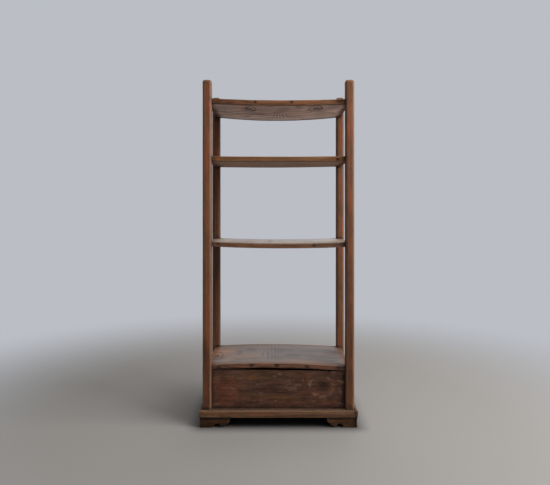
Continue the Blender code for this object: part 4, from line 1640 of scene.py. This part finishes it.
def fine_copy(node, ease, cells):
    """A merged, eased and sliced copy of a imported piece."""
    bm = bmesh.new()
    bm.from_mesh(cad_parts[node].data)
    bmesh.ops.remove_doubles(bm, verts=bm.verts, dist=MERGE)
    bmesh.ops.dissolve_limit(bm, angle_limit=FLAT_ANGLE, verts=bm.verts, edges=bm.edges)
    if ease:
        hard = [edge for edge in bm.edges if edge.calc_face_angle(0) > HARD_ANGLE]
        bmesh.ops.bevel(bm, geom=hard, offset=ease, segments=BEVEL_STEPS, profile=0.5, affect="EDGES",
                        clamp_overlap=True)
    low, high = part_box(node)
    for axis, cell in enumerate(cells):
        slice_up(bm, axis, cell, low[axis], high[axis])
    bmesh.ops.triangulate(bm, faces=[face for face in bm.faces if len(face.verts) > 4])
    mesh = bpy.data.meshes.new(node)
    bm.to_mesh(mesh)
    bm.free()
    return mesh


def age_piece(node, wood, slot, axes, ease, cells, tone=0.0, sharp_from=0.6, wear_reach=0.006,
              wear_depth=0.0008, wave_depth=0.0003):
    """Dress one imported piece."""
    waves = [WAVES_ACROSS] * 3
    waves[axes[0]] = WAVES_ALONG
    around = neighbours_of(node)
    piece = run_tree(new_object(f"{node}_worn", fine_copy(node, ease, cells)), aged_tree, {
        "Edges Of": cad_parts[node], "Neighbours": around, "Sharp From": sharp_from,
        "Wear Reach": wear_reach, "Wear Depth": wear_depth, "Wave Depth": wave_depth,
        "Wave Stretch": waves, "Material": wood})
    drop(around)
    points = np.zeros(len(piece.data.vertices) * 3, np.float32)
    piece.data.vertices.foreach_get("co", points)
    points = points.reshape(-1, 3)[:, axes]
    set_attribute(piece.data, "grain", "FLOAT_VECTOR", points + np.array(LOGS[node], np.float32))
    finish_piece(piece, node, tone)


print("fine copies can be made")

# %% [markdown]
# Posts
#
# The posts are rounded squares, rubbed smooth by hands, with the boards let into them. Their corners
# are round already, so they get no bevel, and even their slight edges count when wear is measured.

# %% Posts
POST_CELLS = (0.004, 0.004, 0.006)
# The back left post's tone is darker as painted shade.
POST_TONES = {"front_left": -0.02, "front_right": 0.0, "back_left": -0.15, "back_right": 0.0}
for corner, tone in POST_TONES.items():
    age_piece(f"post_{corner}", post_woods[corner], "post_wood", ALONG_Z, 0, POST_CELLS, tone,
              sharp_from=0.3, wear_reach=0.007, wear_depth=0.0005)

# %% [markdown]
# Panels and floor of the base
#
# Four thin boards close the base. The front one is dark and scuffed, with two pale rings. The others
# and the floor don't show in the photograph, so they get a plainer wood of the same kind. All stand
# in grooves or lie on rails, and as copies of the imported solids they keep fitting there.

# %% Panels and floor of the base
PANEL_EASE = 0.0006
PANEL_CELLS = (0.006, 0.005, 0.006)
SIDE_PANEL_CELLS = (0.005, 0.006, 0.006)
FLOOR_CELLS = (0.008, 0.008, 0.006)

for side, wood, axes, cells in (
        ("front", panel_wood, PANEL_AXES, PANEL_CELLS),
        ("back", inner_wood, PANEL_AXES, PANEL_CELLS),
        ("left", inner_wood, SIDE_PANEL_AXES, SIDE_PANEL_CELLS),
        ("right", inner_wood, SIDE_PANEL_AXES, SIDE_PANEL_CELLS)):
    age_piece(f"base_panel_{side}", wood, "panel_wood", axes, PANEL_EASE, cells, wave_depth=0.0004)
age_piece("base_floor", inner_wood, "panel_wood", ALONG_X, PANEL_EASE, FLOOR_CELLS)

# %% [markdown]
# Rails, plinth and feet
#
# The moulding of the plinth takes the knocks, so it gets the deepest wear, and the rails lie hidden
# behind it. The feet are sawn to a run of small curves. They get the smallest cells, so that the
# curves stay round when the surface is moved.

# %% Rails, plinth and feet
RAIL_EASE = 0.0007
PLINTH_EASE = 0.0009
FOOT_EASE = 0.0008
RAIL_CELLS = (0.008, 0.005, 0.005)
SIDE_RAIL_CELLS = (0.005, 0.008, 0.005)
PLINTH_CELLS = (0.005, 0.003, 0.003)
SIDE_PLINTH_CELLS = (0.003, 0.005, 0.003)
FOOT_CELLS = (0.003, 0.003, 0.003)
PLINTH_WEAR = dict(sharp_from=0.2, wear_depth=0.0012, wave_depth=0.0005)

for side, wood, axes, rail_cells, plinth_cells in (
        ("front", front_plinth_wood, ALONG_X, RAIL_CELLS, PLINTH_CELLS),
        ("back", plinth_wood, ALONG_X, RAIL_CELLS, PLINTH_CELLS),
        ("left", plinth_wood, ALONG_Y, SIDE_RAIL_CELLS, SIDE_PLINTH_CELLS),
        ("right", plinth_wood, ALONG_Y, SIDE_RAIL_CELLS, SIDE_PLINTH_CELLS)):
    age_piece(f"base_rail_{side}", plinth_wood, "plinth_wood", axes, RAIL_EASE, rail_cells)
    age_piece(f"plinth_{side}", wood, "plinth_wood", axes, PLINTH_EASE, plinth_cells, **PLINTH_WEAR)

FOOT_TONES = {"front_left": -0.18, "front_right": 0.04, "back_left": -0.05, "back_right": 0.0}
for corner, tone in FOOT_TONES.items():
    for node, axes in ((f"bracket_{corner}", ALONG_X), (f"bracket_side_{corner}", ALONG_Y)):
        age_piece(node, front_foot_woods.get(node, foot_wood), "foot_wood", axes, FOOT_EASE, FOOT_CELLS,
                  tone, wear_depth=0.001)

# %% [markdown]
# Pegs
#
# The ends of the pegs show as small dark discs of end grain on the outer faces of the posts. Their
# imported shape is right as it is, so they only get a wood whose grain runs along X, read from the
# object's own coordinates.

# %% Pegs
PEG_ROUGHNESS = 0.55
PEG_ROUGHNESS_SWING = 0.3
PEG_RELIEF = 0.0004


def make_peg_wood():
    material, tree, shader = new_material("peg_end_grain")
    place = add(tree, "ShaderNodeTexCoord")["Object"]
    figure = use("wood figure", Vector=place, Ring_Width=0.0016, Wander=0.004, Wander_Scale=30.0)
    colour = blend(figure["Rings"], srgb(92, 62, 44), srgb(44, 28, 20))
    fill(shader, Base_Color=blend(figure["Pores"], colour, PORE_DARK),
         Roughness=figure["Fibre"] * PEG_ROUGHNESS_SWING + PEG_ROUGHNESS,
         Normal=bump(figure["Height"], PEG_RELIEF))
    return material


peg_wood = make_peg_wood()
pegs = [node for name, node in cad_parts.items() if name.startswith("peg_")]
for peg in pegs:
    peg.data.materials.clear()
    peg.data.materials.append(peg_wood)
print(len(pegs), "pegs dressed")

# %% [markdown]
# Nails
#
# Old nails hold the mouldings and show on the front edges of the boards. A head is a low dome, a few
# millimetres across, driven just below the surface. Geometry Nodes set one on every point of a small
# mesh that holds only places and the way that each nail faces, turn it that way and give each head a
# size of its own.

# %% Tree: nail heads
SMALLEST_HEAD = 0.8
LARGEST_HEAD = 1.15
HEAD_RINGS = 3


def make_nail_tree():
    tree, given, wanted = new_group(
        "nail heads", "GeometryNodeTree",
        {"Places": "shape", "Radius": 0.0021, "Depth": 0.0016, "Crown": 0.0004, "Sides": 10,
         "Seed": 4, "Material": "material"},
        {"Shape": "shape"})
    shank = add(tree, "GeometryNodeMeshCylinder", {
        "Vertices": given["Sides"], "Radius": given["Radius"], "Depth": given["Depth"],
        "Fill Segments": HEAD_RINGS})["Mesh"]
    x, y, z = parts_of(points_of(tree)[0])
    out = calc("LENGTH", joined(x, y, 0.0)) / given["Radius"]
    dome = given["Crown"] * (1.0 - calc("POWER", out, 2.0)) * calc("GREATER_THAN", z, 0.0)
    head = shift(shank, joined(0.0, 0.0, dome - given["Depth"] * 0.5))
    facing = kept_value(tree, "facing", "FLOAT_VECTOR")
    turned = add(tree, "FunctionNodeAlignRotationToVector", {"Vector": facing}, axis="Z")[0]
    size = add(tree, "FunctionNodeRandomValue",
               {"Seed": given["Seed"], 2: SMALLEST_HEAD, 3: LARGEST_HEAD}, data_type="FLOAT")[1]
    heads = add(tree, "GeometryNodeInstanceOnPoints", {"Points": given["Places"], "Instance": head,
                                                       "Rotation": turned, "Scale": size})[0]
    end_tree(heads, given, wanted)
    return tree


nail_tree = make_nail_tree()
print("tree made: nail heads,", len(nail_tree.nodes), "nodes")

# %% [markdown]
# Rusted iron
#
# The heads have lost their shine. One noise gives the rust: where it is high, the iron is browner,
# rougher, less metallic and stands up a little, so that the colour and the relief belong together.

# %% Rusted iron
RUSTED = srgb(44, 18, 7)
BARE_IRON = srgb(30, 11, 4)
CRUST_SCALE = 900.0
CRUST_RIM = (0.4, 0.6)
CRUST_HEIGHT = 0.0003
IRON_SPECULAR = 0.12
IRON_METALLIC = 0.12
IRON_ROUGHNESS = 0.55
RUST_ROUGHER = 0.3


def make_iron():
    """Old iron, dark where it is bare and browner where rust has grown."""
    material, tree, shader = new_material("rusted_iron")
    crust = noise(add(tree, "ShaderNodeTexCoord")["Object"], CRUST_SCALE, detail=4.0, roughness=0.6)
    rust = rise(crust, *CRUST_RIM)
    fill(shader, Specular_IOR_Level=IRON_SPECULAR, Base_Color=blend(rust, BARE_IRON, RUSTED),
         Roughness=rust * RUST_ROUGHER + IRON_ROUGHNESS, Metallic=IRON_METALLIC - rust * IRON_METALLIC,
         Normal=bump(crust, CRUST_HEIGHT))
    return material


iron = make_iron()
print("material made:", iron.name)

# %% [markdown]
# Where the nails go
#
# The nails of the boards go where the photograph shows them. Those of the mouldings don't show, so
# they are spaced evenly along each one with a small wobble, as a maker drives such nails by eye.

# %% Drive the nails
SUNK = 0.0007
NAIL_FROM_END = 0.030
PLINTH_NAILS = 4
NAIL_WOBBLE = 0.004
WOBBLE_STEP = 5.1
FORWARD = Vector((0, -1, 0))
PLINTH_WAYS = {"front": FORWARD, "back": Vector((0, 1, 0)), "left": Vector((-1, 0, 0)),
               "right": Vector((1, 0, 0))}


def set_nails(name, slot, places, ways, **sizes):
    """Make one mesh of nail heads from their places and the way each faces."""
    mesh = bpy.data.meshes.new(name)
    mesh.from_pydata([place - way * SUNK for place, way in zip(places, ways)], [], [])
    set_attribute(mesh, "facing", "FLOAT_VECTOR", np.array([tuple(way) for way in ways], np.float32))
    nails = run_tree(new_object(name, mesh), nail_tree, {"Material": iron, **sizes})
    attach(nails, BODY)
    print(name, len(places), "heads")


for node, nails in EDGE_NAILS.items():
    set_nails(f"{node}_nails", "shelf_wood", [edge_nail_place(node, *seen) for seen in nails],
              [FORWARD] * len(nails), Radius=NAIL_RADII[node])

plinth_places = []
plinth_ways = []
for name, way in PLINTH_WAYS.items():
    low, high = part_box(f"plinth_{name}")
    along = Vector((abs(way.y), abs(way.x), 0))
    middle = (low + high) / 2
    face = Vector([high[i] if way[i] > 0 else low[i] if way[i] < 0 else middle[i] for i in range(3)])
    span = (high - low).dot(along) / 2 - NAIL_FROM_END
    for index in range(PLINTH_NAILS):
        share = 2 * index / (PLINTH_NAILS - 1) - 1
        wobble = NAIL_WOBBLE * math.sin(index * WOBBLE_STEP + len(name))
        plinth_places.append(face + along * (share * span + wobble) + Vector((0, 0, wobble / 2)))
        plinth_ways.append(way)
set_nails("plinth_nails", "plinth_wood", plinth_places, plinth_ways)
